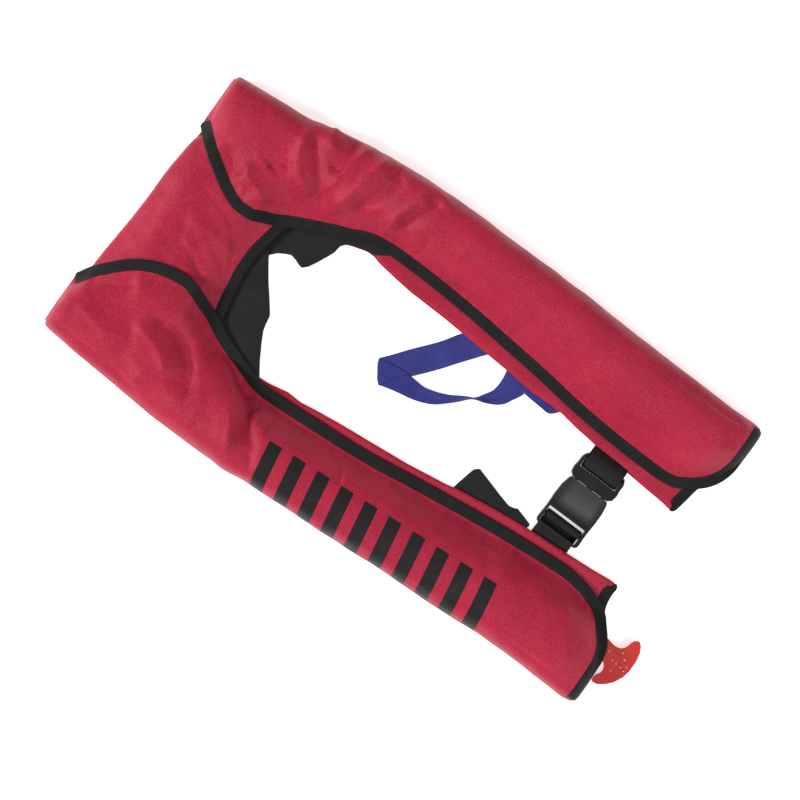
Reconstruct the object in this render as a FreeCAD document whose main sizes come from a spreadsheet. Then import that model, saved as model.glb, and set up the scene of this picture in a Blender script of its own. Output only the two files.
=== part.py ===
import FreeCAD, Part
import math
import os
from FreeCAD import Vector, Placement, Rotation

# Inflatable life jacket, packed, lying on its back: +Z is the front of the jacket,
# +Y points to the neck, +X is the wearer's left lobe.  Millimetres.
# Origin: bottom centre of the bounding box.

doc = FreeCAD.newDocument("life_jacket")

# ------------------------------------------------------------------ driving sizes
sheet = doc.addObject("Spreadsheet::Sheet", "dims")
DIMS = [
    ("pattern_dx", -18.126, "pattern datum to frame, X"),
    ("pattern_dy", 3.5, "pattern datum to frame, Y"),
    ("panel_low", 3.6, "underside of the back panel"),
    ("panel_thick", 1.2, "back panel cloth and lining"),
    ("cover_thick", 1.2, "flap cloth and lining"),
    ("lobe_height", 42.0, "top of the side lobes"),
    ("hinge_left", 158.0, "pattern X of the left fold"),
    ("hinge_right", 129.0, "pattern -X of the right fold"),
    ("hinge_gap", 0.4, "gap between flap and side wall"),
    ("binding_width", 10.0, "edge tape, folded width"),
    ("bladder_inset", 3.6, "bladder below the cover's outer skin"),
    ("bladder_low", 5.1, "underside of the bladder"),
    ("bladder_top", 34.0, "flat top of the folded bladder"),
    ("slot_floor", 16.4, "floor of the mouth tube's channel"),
    ("neck_height", 27.0, "top of the neck cover"),
    ("yoke_thick", 1.4, "shoulder webbing"),
    ("belt_thick", 1.4, "belt webbing"),
    ("belt_low", 0.0, "underside of the belt"),
    ("belt_width", 40.0, "belt webbing"),
    ("blue_thick", 1.4, "lifting loop webbing"),
    ("strip_thick", 0.9, "touch fastener"),
    ("gas_radius", 15.7, "gas cylinder"),
    ("gas_height", 22.0, "axis of the gas cylinder"),
    ("gas_axis_px", -101.0, "pattern X of the gas cylinder"),
    ("neck_thread", 6.3, "threaded neck radius"),
    ("socket_bore", 6.4, "threaded socket radius"),
    ("pin_radius", 2.05, "piercing pin"),
    ("pin_bore", 2.12, "pin bore"),
    ("block_wide", 28.0, "inflator block across"),
    ("block_long", 29.0, "inflator block along"),
    ("block_tall", 24.0, "inflator block height"),
    ("stem_radius", 3.5, "manifold stem"),
    ("stem_bore", 3.6, "bore for the stem"),
    ("flange_radius", 12.0, "manifold flange"),
    ("lever_thick", 6.0, "lever"),
    ("ear_gap", 6.6, "gap between the ears"),
    ("pivot_radius", 1.5, "lever pivot"),
    ("pivot_bore", 1.56, "lever pivot bore"),
    ("handle_thick", 4.0, "pull handle"),
    ("handle_low", 5.3, "underside of the handle"),
    ("cord_radius", 1.2, "lanyard"),
    ("tube_radius", 6.0, "mouth tube"),
    ("tube_height", 26.9, "mouth tube axis"),
    ("tube_axis_px", 148.0, "pattern X of the mouth tube"),
    ("valve_radius", 8.0, "valve housing"),
    ("cap_radius", 9.2, "mouth cap"),
    ("cap_bore", 8.1, "mouth cap inside"),
    ("poppet_radius", 1.5, "valve stem"),
    ("poppet_bore", 1.56, "valve stem guide"),
    ("buckle_height", 12.4, "buckle thickness"),
    ("buckle_low", 0.0, "underside of the buckle"),
    ("cavity_wide", 38.0, "socket cavity width"),
    ("cavity_tall", 7.6, "socket cavity height"),
    ("tongue_thick", 5.0, "plug tongue"),
    ("prong_thick", 5.0, "plug prongs"),
    ("bar_radius", 1.9, "webbing bars"),
    ("slider_thick", 3.1, "tail slider"),
    ("whistle_thick", 13.0, "whistle"),
]
for i, (alias, value, note) in enumerate(DIMS, start=1):
    sheet.set("A%d" % i, note)
    sheet.set("B%d" % i, str(value))
    sheet.setAlias("B%d" % i, alias)
doc.recompute()


def D(name):
    return float(getattr(sheet, name))


DX, DY = D("pattern_dx"), D("pattern_dy")


def V(x, y, z=0.0):
    """Pattern point to frame point."""
    return Vector(x + DX, y + DY, z)


# ------------------------------------------------------------------ helpers
def feature(label, shape, place=None):
    f = doc.addObject("Part::Feature", label)
    f.Label = label
    f.Shape = shape
    f.Placement = place or Placement()
    return f


def solid_of(shape):
    """The shape as one clean solid."""
    solids = sorted(shape.Solids, key=lambda q: -q.Volume)
    best = solids[0]
    try:
        merged = best.removeSplitter()
        if merged.isValid() and merged.Solids and abs(merged.Volume - best.Volume) < 1e-3 * best.Volume:
            return merged.Solids[0]
    except Part.OCCError:
        pass
    return best


def body_of(label, placement=None):
    b = doc.addObject("PartDesign::Body", label)
    b.Label = label
    if placement is not None:
        b.Placement = placement
    return b


def sketch_on(body, name, role, offset=0.0):
    sk = body.newObject("Sketcher::SketchObject", name)
    for f in body.Origin.OriginFeatures:
        if f.Role == role:
            sk.AttachmentSupport = [(f, "")]
    sk.MapMode = "FlatFace"
    sk.AttachmentOffset = Placement(Vector(0, 0, offset), Rotation())
    return sk


def lines(sk, pts):
    import Sketcher

    n = len(pts)
    first = sk.GeometryCount
    for i in range(n):
        a, b = pts[i], pts[(i + 1) % n]
        sk.addGeometry(Part.LineSegment(Vector(a[0], a[1], 0), Vector(b[0], b[1], 0)), False)
    for i in range(n):
        sk.addConstraint(Sketcher.Constraint("Coincident", first + i, 2, first + (i + 1) % n, 1))
    return first


def circle(sk, x, y, alias=None, radius=None):
    import Sketcher

    r = D(alias) if alias else radius
    g = sk.addGeometry(Part.Circle(Vector(x, y, 0), Vector(0, 0, 1), r), False)
    c = sk.addConstraint(Sketcher.Constraint("Radius", g, r))
    if alias:
        sk.setExpression("Constraints[%d]" % c, "dims." + alias)
    return g


def pad(body, sk, expr, name, reverse=False, sym=False):
    p = body.newObject("PartDesign::Pad", name)
    p.Profile = sk
    if isinstance(expr, str):
        p.setExpression("Length", expr)
    else:
        p.Length = expr
    p.Reversed = reverse
    if sym:
        p.Midplane = True
    doc.recompute()
    return p


def pocket(body, sk, expr, name, reverse=False, sym=False):
    before = body.Shape.Volume
    p = body.newObject("PartDesign::Pocket", name)
    p.Profile = sk
    if isinstance(expr, str):
        p.setExpression("Length", expr)
    else:
        p.Length = expr
    p.Reversed = reverse
    if sym:
        p.Midplane = True
    doc.recompute()
    if not body.Shape.Volume < before - 1e-3:
        p.Reversed = not reverse
        doc.recompute()
    if not body.Shape.Volume < before - 1e-3:
        raise RuntimeError("pocket %s cut nothing" % name)
    return p


def prism(pts, z0, z1):
    """Vertical prism over a closed pattern polygon."""
    vs = [V(x, y, z0) for x, y in pts]
    w = Part.makePolygon(vs + [vs[0]])
    return Part.Face(w).extrude(Vector(0, 0, z1 - z0))


def box(x0, x1, y0, y1, z0, z1):
    return Part.makeBox(x1 - x0, y1 - y0, z1 - z0, V(x0, y0, z0))


def table(tab):
    """Monotone piecewise-cubic interpolation of a table of (t, value)."""
    tab = sorted(tab)
    ts = [p[0] for p in tab]
    vs = [p[1] for p in tab]
    n = len(ts)
    d = [(vs[i + 1] - vs[i]) / (ts[i + 1] - ts[i]) for i in range(n - 1)]
    m = [d[0]] + [0.0 if d[i - 1] * d[i] <= 0 else 2 * d[i - 1] * d[i] / (d[i - 1] + d[i]) for i in range(1, n - 1)] + [d[-1]]

    def at(t):
        t = min(max(t, ts[0]), ts[-1])
        i = 0
        while i < n - 2 and t > ts[i + 1]:
            i += 1
        h = ts[i + 1] - ts[i]
        u = (t - ts[i]) / h
        return (
            (2 * u**3 - 3 * u**2 + 1) * vs[i]
            + (u**3 - 2 * u**2 + u) * h * m[i]
            + (-2 * u**3 + 3 * u**2) * vs[i + 1]
            + (u**3 - u**2) * h * m[i + 1]
        )

    return at


# ------------------------------------------------------------------ cutting pattern
# outer fold and free edge of each flap, as distance from the datum against Y
XO = {
    1: table([(-296, 169), (-287, 171), (-250, 172), (-200, 174), (-150, 176), (-120, 178), (-80, 180), (-50, 181), (0, 182), (40, 184), (95, 184), (110, 183), (130, 181), (160, 178), (180, 175), (200, 171), (220, 167), (240, 166), (270, 164), (298, 162)]),
    -1: table([(-296, 138), (-290, 140), (-283, 141), (-250, 139), (-220, 138), (-190, 137), (-150, 139), (-100, 140), (-50, 141), (0, 143), (50, 144), (75, 145), (100, 148), (115, 147), (150, 146), (180, 145), (210, 143), (240, 140), (265, 138), (300, 134), (315, 132)]),
}
XI = {
    1: table([(-295, 140), (-294, 124), (-290, 110), (-284, 100), (-276, 92), (-266, 85), (-256, 79.5), (-240, 77.5), (-200, 79), (-150, 83), (-100, 90), (-50, 96), (0, 101.5), (50, 105), (84, 106), (103, 104), (108, 103), (124, 96), (140, 90), (152, 85), (180, 72), (190, 66), (198, 63), (212, 57), (225, 57), (240, 62), (262, 75), (283, 90), (298, 103)]),
    -1: table([(-295.5, 105), (-294, 92), (-291, 80), (-286, 72), (-278, 62), (-272, 55), (-265, 50), (-257, 46), (-240, 41), (-220, 38.5), (-200, 39), (-150, 42), (-100, 46.5), (-50, 52), (0, 57.5), (50, 60), (100, 61.5), (118, 60), (130, 56), (150, 49), (170, 41), (188, 31), (200, 26.5), (213, 21), (225, 18.5), (240, 20), (258, 24.5), (275, 33), (285, 41), (300, 56), (307, 63), (314, 74)]),
}
# height of the free edge, and of the crown, against Y
ZE = {
    1: table([(-295, 11.4), (-270, 10.2), (-245, 8.6), (80, 8.6), (105, 9.6), (150, 10.6), (186, 13.0), (205, 24.0), (215, 29.2), (270, 29.2), (284, 27.0), (291, 21.0), (298, 13.5)]),
    -1: table([(-295, 11.4), (-270, 10.2), (-245, 8.6), (85, 8.6), (108, 9.6), (150, 10.6), (188, 13.0), (205, 24.0), (216, 29.2), (285, 29.2), (299, 26.0), (307, 18.0), (314, 12.5)]),
}
Y_END = {1: (-294.5, 297.5), -1: (-294.5, 314.0)}
H = D("lobe_height")
CROWN = table([(-300, H), (100, H), (150, H - 1.5), (200, H - 4), (330, H - 6)])


def crown(side, y):
    """Crown height, rounded off at the two ends."""
    lo, hi = Y_END[side]
    top, edge = CROWN(y), ZE[side](y)
    for dist, length in ((y - lo, 42.0), (hi - y, 20.0)):
        if dist < length:
            u = 1 - max(dist, 0.0) / length
            g = math.sqrt(max(0.0, 1 - u * u))
            low = max(edge + 1.5, 13.0)
            top = min(top, low + (CROWN(y) - low) * g) if low < CROWN(y) else top
    return max(top, edge + 1.5)


FRACS = [0.0, 0.07, 0.16, 0.28, 0.42, 0.58, 0.74, 0.86, 0.94, 0.985, 1.0, 0.99, 0.965]
RISE = [0.06, 0.22, 0.47, 0.74, 0.91, 0.99, 0.99, 0.90, 0.72, 0.50, 0.28, 0.12, 0.0]


def profile(xi, xo, ze, zt, zb, flat):
    """Skin of a puffed cover from its free edge (xi, ze) over the crown to the bottom of the outer wall."""
    w = xo - xi
    flat = min(flat, 0.35 * w)
    pts = [(xi, ze), (xi + 0.5 * flat, ze + 0.01 * (zt - ze))]
    x1 = xi + flat
    for i, (f, r) in enumerate(zip(FRACS, RISE)):
        base = ze if i < 6 else zb
        pts.append((x1 + f * (xo - x1), base + r * (zt - base)))
    return pts


def offset_in(pts, t):
    """The same skin moved inwards by t along its normals."""
    out = []
    n = len(pts)
    for i in range(n):
        a, b = pts[max(i - 1, 0)], pts[min(i + 1, n - 1)]
        dx, dz = b[0] - a[0], b[1] - a[1]
        L = math.hypot(dx, dz)
        out.append((pts[i][0] + t * dz / L, pts[i][1] - t * dx / L))
    return out


def dense(pts, per=10):
    """Catmull-Rom points along the skin."""
    out = []
    n = len(pts)
    for i in range(n - 1):
        p0, p1, p2, p3 = pts[max(i - 1, 0)], pts[i], pts[i + 1], pts[min(i + 2, n - 1)]
        for k in range(per):
            t = k / float(per)
            q = []
            for j in (0, 1):
                q.append(0.5 * (2 * p1[j] + (p2[j] - p0[j]) * t + (2 * p0[j] - 5 * p1[j] + 4 * p2[j] - p3[j]) * t * t + (3 * p1[j] - p0[j] - 3 * p2[j] + p3[j]) * t**3))
            out.append((q[0], q[1]))
    out.append(pts[-1])
    return out


def resample(pts, n):
    """n points evenly spaced along a polyline."""
    acc = [0.0]
    for p, q in zip(pts, pts[1:]):
        acc.append(acc[-1] + math.hypot(q[0] - p[0], q[1] - p[1]))
    out = []
    j = 0
    for k in range(n):
        d = acc[-1] * k / (n - 1.0)
        while j < len(acc) - 2 and acc[j + 1] < d:
            j += 1
        u = (d - acc[j]) / max(acc[j + 1] - acc[j], 1e-9)
        out.append((pts[j][0] + u * (pts[j + 1][0] - pts[j][0]), pts[j][1] + u * (pts[j + 1][1] - pts[j][1])))
    return out


def part_of(pts, low=None, high=None):
    """The stretch of the skin between two distances, both taken on the way out."""
    out = []
    for p, q in zip(pts, pts[1:]):
        if low is not None and not out:
            if p[0] <= low < q[0]:
                u = (low - p[0]) / (q[0] - p[0])
                out.append((low, p[1] + u * (q[1] - p[1])))
            else:
                continue
        elif not out:
            out.append(p)
        if high is not None and p[0] <= high < q[0]:
            u = (high - p[0]) / (q[0] - p[0])
            out.append((high, p[1] + u * (q[1] - p[1])))
            return out
        out.append(q)
    return out


def spline(vs):
    c = Part.BSplineCurve()
    n = len(vs)
    c.interpolate(Points=vs, Parameters=[i / (n - 1.0) for i in range(n)])
    return c.toShape()


def skin_wire(pts, thick, n, place):
    """Closed section of cloth: the outer line, and the same line moved in by the thickness."""
    outer = resample(pts, n)
    inner = offset_in(outer, thick)
    a = [place(p, q) for p, q in outer]
    b = [place(p, q) for p, q in inner][::-1]
    return Part.Wire([spline(a), Part.LineSegment(a[-1], b[0]).toShape(), spline(b), Part.LineSegment(b[-1], a[0]).toShape()])


def skin_loft(stations, low, high, thick, n=12):
    """Cloth lofted over stations; low and high give the stretch of skin at each one."""
    wires = []
    for st in stations:
        s, xi, xo, ze, zt, zb, flat, place = st
        line = dense(profile(xi, xo, ze, zt, zb, flat))
        wires.append(skin_wire(part_of(line, low(st) if low else None, high(st) if high else None), thick, n, place))
    return Part.makeLoft(wires, True, True)


def lobe_stations(side, y0=None, y1=None):
    lo, hi = Y_END[side]
    ys = [lo, lo + 1.5, lo + 5, lo + 10, lo + 12, lo + 19, lo + 29, lo + 42, -225, -190, -150, -100, -50, 0, 50, 84, 104, 118, 134, 152, 170, 188, 198, 207, 215, 226, 240, 258]
    ys += [hi - 26, hi - 19, hi - 13, hi - 8, hi - 4, hi - 1.5, hi]
    if y0 is not None:
        ys = [y for y in ys if y > y0 + 0.3] + [y0]
    if y1 is not None:
        ys = [y for y in ys if y < y1 - 0.3] + [y1]
    st = []
    for y in sorted(set(round(y, 3) for y in ys)):
        st.append((y, XI[side](y), XO[side](y), ZE[side](y), crown(side, y), D("panel_low") + D("panel_thick"), 12.0,
                   (lambda a, b, yy=y: V(side * a, yy, b))))
    return st


# neck cover: inner arch, outer fold, crown against X
NY_IN = table([(-98, 166), (-88, 168), (-62, 172), (-38, 178), (-20, 182), (0, 185), (15, 186.8), (28, 187), (40, 186), (50, 184), (60, 182), (80, 176), (118, 164), (128, 160)])
NY_OUT = table([(-98, 286), (-88, 292), (-75, 302), (-62, 307), (0, 303), (50, 301), (90, 297.5), (100, 291), (118, 276), (128, 268)])


def neck_stations(xs=(-88, -75, -62, -40, -20, 0, 15, 28, 45, 60, 80, 90, 100, 118)):
    st = []
    for x in xs:
        st.append((x, NY_IN(x), NY_OUT(x), 10.4, D("neck_height") - (1.5 if x < -62 or x > 95 else 0.0), D("panel_low") + D("panel_thick"), 10.0,
                   (lambda a, b, xx=x: V(xx, a, b))))
    return st


# ------------------------------------------------------------------ covers
T = D("cover_thick")
PZ0, PZ1 = D("panel_low"), D("panel_low") + D("panel_thick")

# back panel, one flat U
RIGHT_INNER = [(-25.5, -258), (-27, -240), (-28, -217), (-30, -170), (-33, -130), (-37, -95), (-40, -80), (-45, -40), (-48, 0), (-50, 30), (-53, 60), (-55, 75), (-54, 90), (-57.5, 110), (-58, 122)]
LEFT_INNER = [(96.5, 104), (96, 96), (94, 90), (91, 70), (88.5, 50), (86.5, 10), (84, -20), (82, -42), (80, -66), (77, -93), (76.5, -130), (73, -150), (70, -175), (65, -222), (61.5, -258)]
ARCH = [(-52, 150), (-42, 172), (-30, 183), (0, 188), (30, 190), (58, 184), (72, 165), (88, 135)]
RIGHT_END = [(-138.5, -291), (-136, -293), (-95, -294.3), (-80, -291), (-66, -281), (-52, -270), (-38, -267), (-29, -267.5), (-25.8, -265)]
LEFT_END = [(60, -266), (62, -270), (75, -273), (92, -276.5), (100, -283.5), (112, -291), (126, -294.3), (160, -294.3), (168, -292)]
LEFT_OUT = [(XO[1](y) - 2.2, y) for y in (-283, -250, -200, -150, -120, -80, -50, 0, 40, 95, 110, 130, 160, 180, 200, 220, 240, 270, 288)]
TOP = [(158, 294.5), (115, 296), (50, 299), (0, 301), (-62, 305), (-78, 311.5), (-128, 311.5)]
RIGHT_OUT = [(-(XO[-1](y) - 2.2), y) for y in (305, 265, 240, 210, 180, 150, 115, 100, 75, 50, 0, -50, -100, -150, -190, -220, -250, -283)]
panel_pts = RIGHT_END + RIGHT_INNER + ARCH + LEFT_INNER[:-1] + [LEFT_INNER[-1]] + LEFT_END + LEFT_OUT + TOP + RIGHT_OUT
panel = prism(panel_pts, PZ0, PZ1)
end_right = prism([(-150, -300), (-20, -300), (-20, -258.5), (-42, -258.5), (-54, -262), (-66, -271), (-76, -280), (-90, -285), (-150, -285)], PZ0 - 1, PZ1 + 1)
end_left = prism([(50, -300), (180, -300), (180, -286), (122, -286), (105, -280), (92, -268), (84, -261.5), (50, -261.5)], PZ0 - 1, PZ1 + 1)
feature("right_end_binding", solid_of(panel.common(end_right)))
feature("left_end_binding", solid_of(panel.common(end_left)))
panel = solid_of(panel.cut(end_right).cut(end_left))

GAP = D("hinge_gap")
XH = {1: D("hinge_left"), -1: D("hinge_right")}
for side in (1, -1):
    lo, hi = Y_END[side]
    st = [(s, xi, xo, ze, zt, zb - 0.6, fl, pl) for (s, xi, xo, ze, zt, zb, fl, pl) in lobe_stations(side, y0=lo + 10.5, y1=hi - 4)]
    wall = skin_loft(st, lambda q: XH[side] + GAP / 2, None, T)
    panel = panel.fuse(wall)
feature("cover_back_panel", solid_of(panel))

BW = D("binding_width")
for side, name in ((1, "left"), (-1, "right")):
    lo, hi = Y_END[side]
    edge = lambda q: q[1] + BW
    fold = lambda q: XH[side] - GAP / 2
    feature(name + "_flap", skin_loft(lobe_stations(side, y0=lo + BW), edge, fold, T))
    end = skin_loft(lobe_stations(side, y1=lo + BW), None, fold, T)
    strip = skin_loft(lobe_stations(side, y0=lo + BW + 0.05), None, edge, T, n=8)
    feature(name + "_flap_binding", Part.makeCompound([end, strip]))

feature("neck_cover", skin_loft(neck_stations(), lambda q: q[1] + 9.5, None, T))
feature("neck_binding", skin_loft(neck_stations(), None, lambda q: q[1] + 9.5, T, n=8))

# touch fastener: hook strips on the panel, loop strips under the flaps
ST = D("strip_thick")
for side, name in ((1, "left"), (-1, "right")):
    ys = [-238, -200, -150, -100, -50, 0, 50, 70]
    strip = [(side * (XI[side](y) + 1.0), y) for y in ys] + [(side * (XI[side](y) + 10.5), y) for y in reversed(ys)]
    feature(name + "_hook_strip", prism(strip, PZ1, PZ1 + ST))
    feature(name + "_loop_strip", prism(strip, PZ1 + ST + 0.35, PZ1 + ST + 0.35 + 1.2))

# ------------------------------------------------------------------ bladder
INS = D("bladder_inset")
BLO, BTOP = D("bladder_low"), D("bladder_top")
SF = D("slot_floor")


def fill_loft(stations, inset, first, n=14):
    """Solid filling below the skin, from a distance inside the free edge, with a flat top."""
    wires = []
    for (s, xi, xo, ze, zt, zb, flat, place) in stations:
        line = offset_in(dense(profile(xi, xo, ze, zt, zb, flat)), inset)
        line = part_of(line, max(xi + 15.0, first), None)
        line = [(x, min(z, BTOP)) for x, z in line if z > BLO + 0.4]
        line = resample([(line[0][0], BLO)] + line + [(line[-1][0], BLO)], n)
        vs = [place(x, z) for x, z in line]
        wires.append(Part.makePolygon(vs + [vs[0]]))
    return Part.makeLoft(wires, True, True)


def keep(side, ys):
    st = lobe_stations(side)
    return [q for q in st if ys[0] <= q[0] <= ys[1]]


right_fill = fill_loft(keep(-1, (-272, 160)), INS, 0.0)
left_fill = fill_loft(keep(1, (-272, 160)), INS, 0.0)
# above the arch the lobes narrow to stay outside the neck cover
right_top = fill_loft(keep(-1, (150, 296)), INS, 93.0)
left_top = fill_loft(keep(1, (150, 280)), INS, 123.0)
neck_fill = fill_loft(neck_stations((-98, -88, -75, -62, -40, -20, 0, 15, 28, 45, 60, 80, 90, 100, 118, 128)), 2.6, 0.0)
bladder = right_fill.fuse([left_fill, right_top, left_top, neck_fill])
GX = D("gas_axis_px")
TXP = D("tube_axis_px")
GZ = D("gas_height")
bladder = bladder.cut(
    [
        box(-121, -70, -300, -198, 6.0, 60),
        box(GX - 17.5, GX + 17.5, -199, -64, 6.0, 60),
        box(TXP - 14, TXP + 14, 0, 182, SF, 60),
        box(TXP - 14, TXP + 14, -72, -4, 17.5, 60),
    ]
)
feature("bladder", solid_of(bladder))

feature("reflective_tape", Part.makeCompound([box(136, 156, -190, -90, BTOP, BTOP + 0.3), box(-128, -103, -40, 60, BTOP, BTOP + 0.3)]))

# ------------------------------------------------------------------ webbing
YT = D("yoke_thick")
feature("yoke_strap_left", prism([(41, 178.5), (47, 173), (53, 161), (49, 147), (60, 138), (78, 129.5), (90, 125), (95.5, 110), (97, 98), (106, 84), (113, 92), (110, 112), (101, 138), (90, 160), (76, 180), (60, 188), (40, 191)], 5.0, 5.0 + YT))
feature("yoke_strap_right", prism([(-68, 118), (-58, 120), (-45, 128.5), (-30, 137), (-14, 143.5), (-5, 145), (10, 156), (20, 164), (38, 176.5), (46, 181), (50, 190), (28, 192), (0, 190), (-28, 187), (-44, 178), (-56, 158), (-68, 132)], 5.3 + YT, 5.3 + 2 * YT))

BT, BL = D("belt_thick"), D("belt_low")
# back strap of the harness, folded in two layers under the neck panel
feature("back_strap", prism([(2, 204), (42, 204), (42, 290), (2, 290)], 0.0, PZ0 - 0.1))


def strap_loop(path, thick, half_width):
    """Webbing of one thickness following a side-view path (x, z of its middle line)."""
    n = len(path)
    up, dn = [], []
    for i in range(n):
        a, b = path[max(i - 1, 0)], path[min(i + 1, n - 1)]
        dx, dz = b[0] - a[0], b[1] - a[1]
        L = math.hypot(dx, dz)
        nx, nz = -dz / L * thick / 2, dx / L * thick / 2
        up.append((path[i][0] + nx, path[i][1] + nz))
        dn.append((path[i][0] - nx, path[i][1] - nz))
    pts = up + dn[::-1]
    vs = [Vector(x, -half_width, z) for x, z in pts]
    s = Part.Face(Part.makePolygon(vs + [vs[0]])).extrude(Vector(0, 2 * half_width, 0))
    return s


# buckle frame: x along the belt towards the left lobe
BUCKLE = Placement(V(8.0, -192.0, 0.0), Rotation(Vector(0, 0, 1), -2.0))
ZB = D("buckle_low") + D("buckle_height") / 2
arc = [(49.0 - 4.0 * math.sin(math.radians(a)), 6.5 - 4.0 * math.cos(math.radians(a))) for a in range(10, 171, 20)]
feature("waist_belt_left", strap_loop([(150, BL + BT / 2), (66, BL + BT / 2), (56, 1.6)] + arc + [(53.2, 9.2), (56.2, 6.2), (57.4, 3.8)], BT, D("belt_width") / 2), BUCKLE)
arc = [(-16.0 + 4.0 * math.sin(math.radians(a)), 6.5 - 4.0 * math.cos(math.radians(a))) for a in range(10, 171, 20)]
feature("waist_belt_right", strap_loop([(-95, BL + BT / 2), (-32, BL + BT / 2), (-23, 1.6)] + arc + [(-19.4, 10.3)], BT, D("belt_width") / 2), BUCKLE)

feature("belt_tail", prism([(-10, -98.5), (-13, -94.5), (-17, -93), (-35, -88.5), (-47.9, -87.1), (-68.9, -156.6), (-31, -168)], 0.95, 0.95 + 1.3))
bt_blue = D("blue_thick")
leg_a = prism([(84, -11.5), (70, -2), (60, 6), (45, 19), (30, 31), (23, 38), (20.5, 39), (1, 27), (0, 24), (2, 17), (23, -2), (30, -1), (45, -14), (60, -25), (72, -35), (80, -41.5), (104, -62), (112, -38)], 0.0, bt_blue)
leg_b = prism([(20.5, 39), (1, 27), (0, 24), (2, 17), (4.5, 5), (6.5, -7), (10, -19), (15, -29), (24, -39), (31, -46), (36, -50), (40, -55), (42.5, -62), (44, -68), (47, -75), (52, -81.5), (58, -85), (65, -88.5), (69, -91), (71.5, -98), (70.5, -106), (69.3, -117), (69, -121), (71, -124), (76.5, -129), (100, -118), (100, -68), (80, -66.5), (68, -67.5), (61, -67), (58, -66), (52, -61.5), (46, -56), (40, -50), (35, -43), (31, -36), (27, -27), (24, -17), (23, -8), (23.5, -3), (26, 12), (24, 28)], bt_blue, 2 * bt_blue)
feature("lifting_strap", solid_of(leg_a.fuse(leg_b)))

# ------------------------------------------------------------------ buckle
b = body_of("buckle_socket", BUCKLE)
sk = sketch_on(b, "socket_outline", "XY_Plane", D("buckle_low"))
lines(sk, [(-28, -21.5), (-25, -23.5), (-10, -23.0), (2, -23.5), (14, -23.2), (22, -21.8), (25, -20.5), (25, 20.5), (22, 21.8), (14, 23.2), (2, 23.5), (-10, 23.0), (-25, 23.5), (-28, 21.5)])
pad(b, sk, "dims.buckle_height", "socket_pad")
sk = sketch_on(b, "socket_cavity", "YZ_Plane", 26.0)
cw, ch = D("cavity_wide") / 2, D("cavity_tall") / 2
lines(sk, [(-cw, ZB - ch), (cw, ZB - ch), (cw, ZB + ch), (-cw, ZB + ch)])
pocket(b, sk, 31.0, "cavity", reverse=False)
sk = sketch_on(b, "socket_windows", "XY_Plane", ZB - 3.3)
lines(sk, [(0, 15), (16, 15), (16, 26), (0, 26)])
lines(sk, [(0, -26), (16, -26), (16, -15), (0, -15)])
pocket(b, sk, 6.6, "windows", reverse=True)
sk = sketch_on(b, "socket_strap_gap", "XY_Plane", 20.0)
lines(sk, [(-25.5, -20.6), (-9, -20.6), (-9, 20.6), (-25.5, 20.6)])
pocket(b, sk, 40.0, "strap_gap")
# the ladder bar across the gap
sk = sketch_on(b, "socket_bar", "XZ_Plane", 0.0)
circle(sk, -16.0, 6.5, "bar_radius")
pad(b, sk, 42.4, "bar", sym=True)
# room for the webbing below the end bar
sk = sketch_on(b, "socket_throat", "XY_Plane", 3.4)
lines(sk, [(-29, -20.6), (-24, -20.6), (-24, 20.6), (-29, 20.6)])
pocket(b, sk, 5.0, "throat")
# shallow grip scallops on the face
sk = sketch_on(b, "socket_face", "XY_Plane", D("buckle_low") + D("buckle_height"))
lines(sk, [(-6, -19), (20, -18), (20, 18), (-6, 19)])
pocket(b, sk, 0.6, "face_panel")

b = body_of("buckle_plug", BUCKLE)
sk = sketch_on(b, "plug_outline", "XY_Plane", D("buckle_low"))
lines(sk, [(25.5, -19.5), (28.5, -23.2), (34, -24.3), (40, -23.6), (46, -23.6), (49.5, -22.5), (52, -20.6), (52, 20.6), (49.5, 22.5), (46, 23.6), (40, 23.6), (34, 24.3), (28.5, 23.2), (25.5, 19.5)])
pad(b, sk, "dims.buckle_height", "plug_pad")
sk = sketch_on(b, "plug_strap_gap", "XY_Plane", 20.0)
lines(sk, [(37.5, -20.6), (60, -20.6), (60, 20.6), (37.5, 20.6)])
pocket(b, sk, 40.0, "strap_gap")
sk = sketch_on(b, "plug_bar", "XZ_Plane", 0.0)
circle(sk, 49.0, 6.5, "bar_radius")
pad(b, sk, 42.4, "bar", sym=True)
sk = sketch_on(b, "plug_tongue", "XY_Plane", ZB - D("tongue_thick") / 2)
lines(sk, [(26.5, -3.2), (26.5, 3.2), (4, 3.0), (2, 1.2), (2, -1.2), (4, -3.0)])
pad(b, sk, "dims.tongue_thick", "tongue")
sk = sketch_on(b, "plug_prong_room", "XY_Plane", ZB - 3.0)
lines(sk, [(25, 10.2), (31.3, 10.2), (31.3, 17.8), (25, 17.8)])
lines(sk, [(25, -17.8), (31.3, -17.8), (31.3, -10.2), (25, -10.2)])
pocket(b, sk, 6.0, "prong_room", reverse=True)

for s, name in ((1, "buckle_prong_upper"), (-1, "buckle_prong_lower")):
    b = body_of(name, BUCKLE)
    sk = sketch_on(b, name + "_outline", "XY_Plane", ZB - D("prong_thick") / 2)
    pts = [(31.0, 12.0), (31.0, 16.0), (26, 17.0), (16, 18.0), (15.4, 20.8), (13, 22.0), (8, 20.6), (2.0, 16.2), (1.6, 14.2), (6, 14.4), (16, 14.6), (26, 13.6)]
    pts = [(x, s * y) for x, y in pts]
    lines(sk, pts if s > 0 else pts[::-1])
    pad(b, sk, "dims.prong_thick", name + "_pad")

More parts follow.
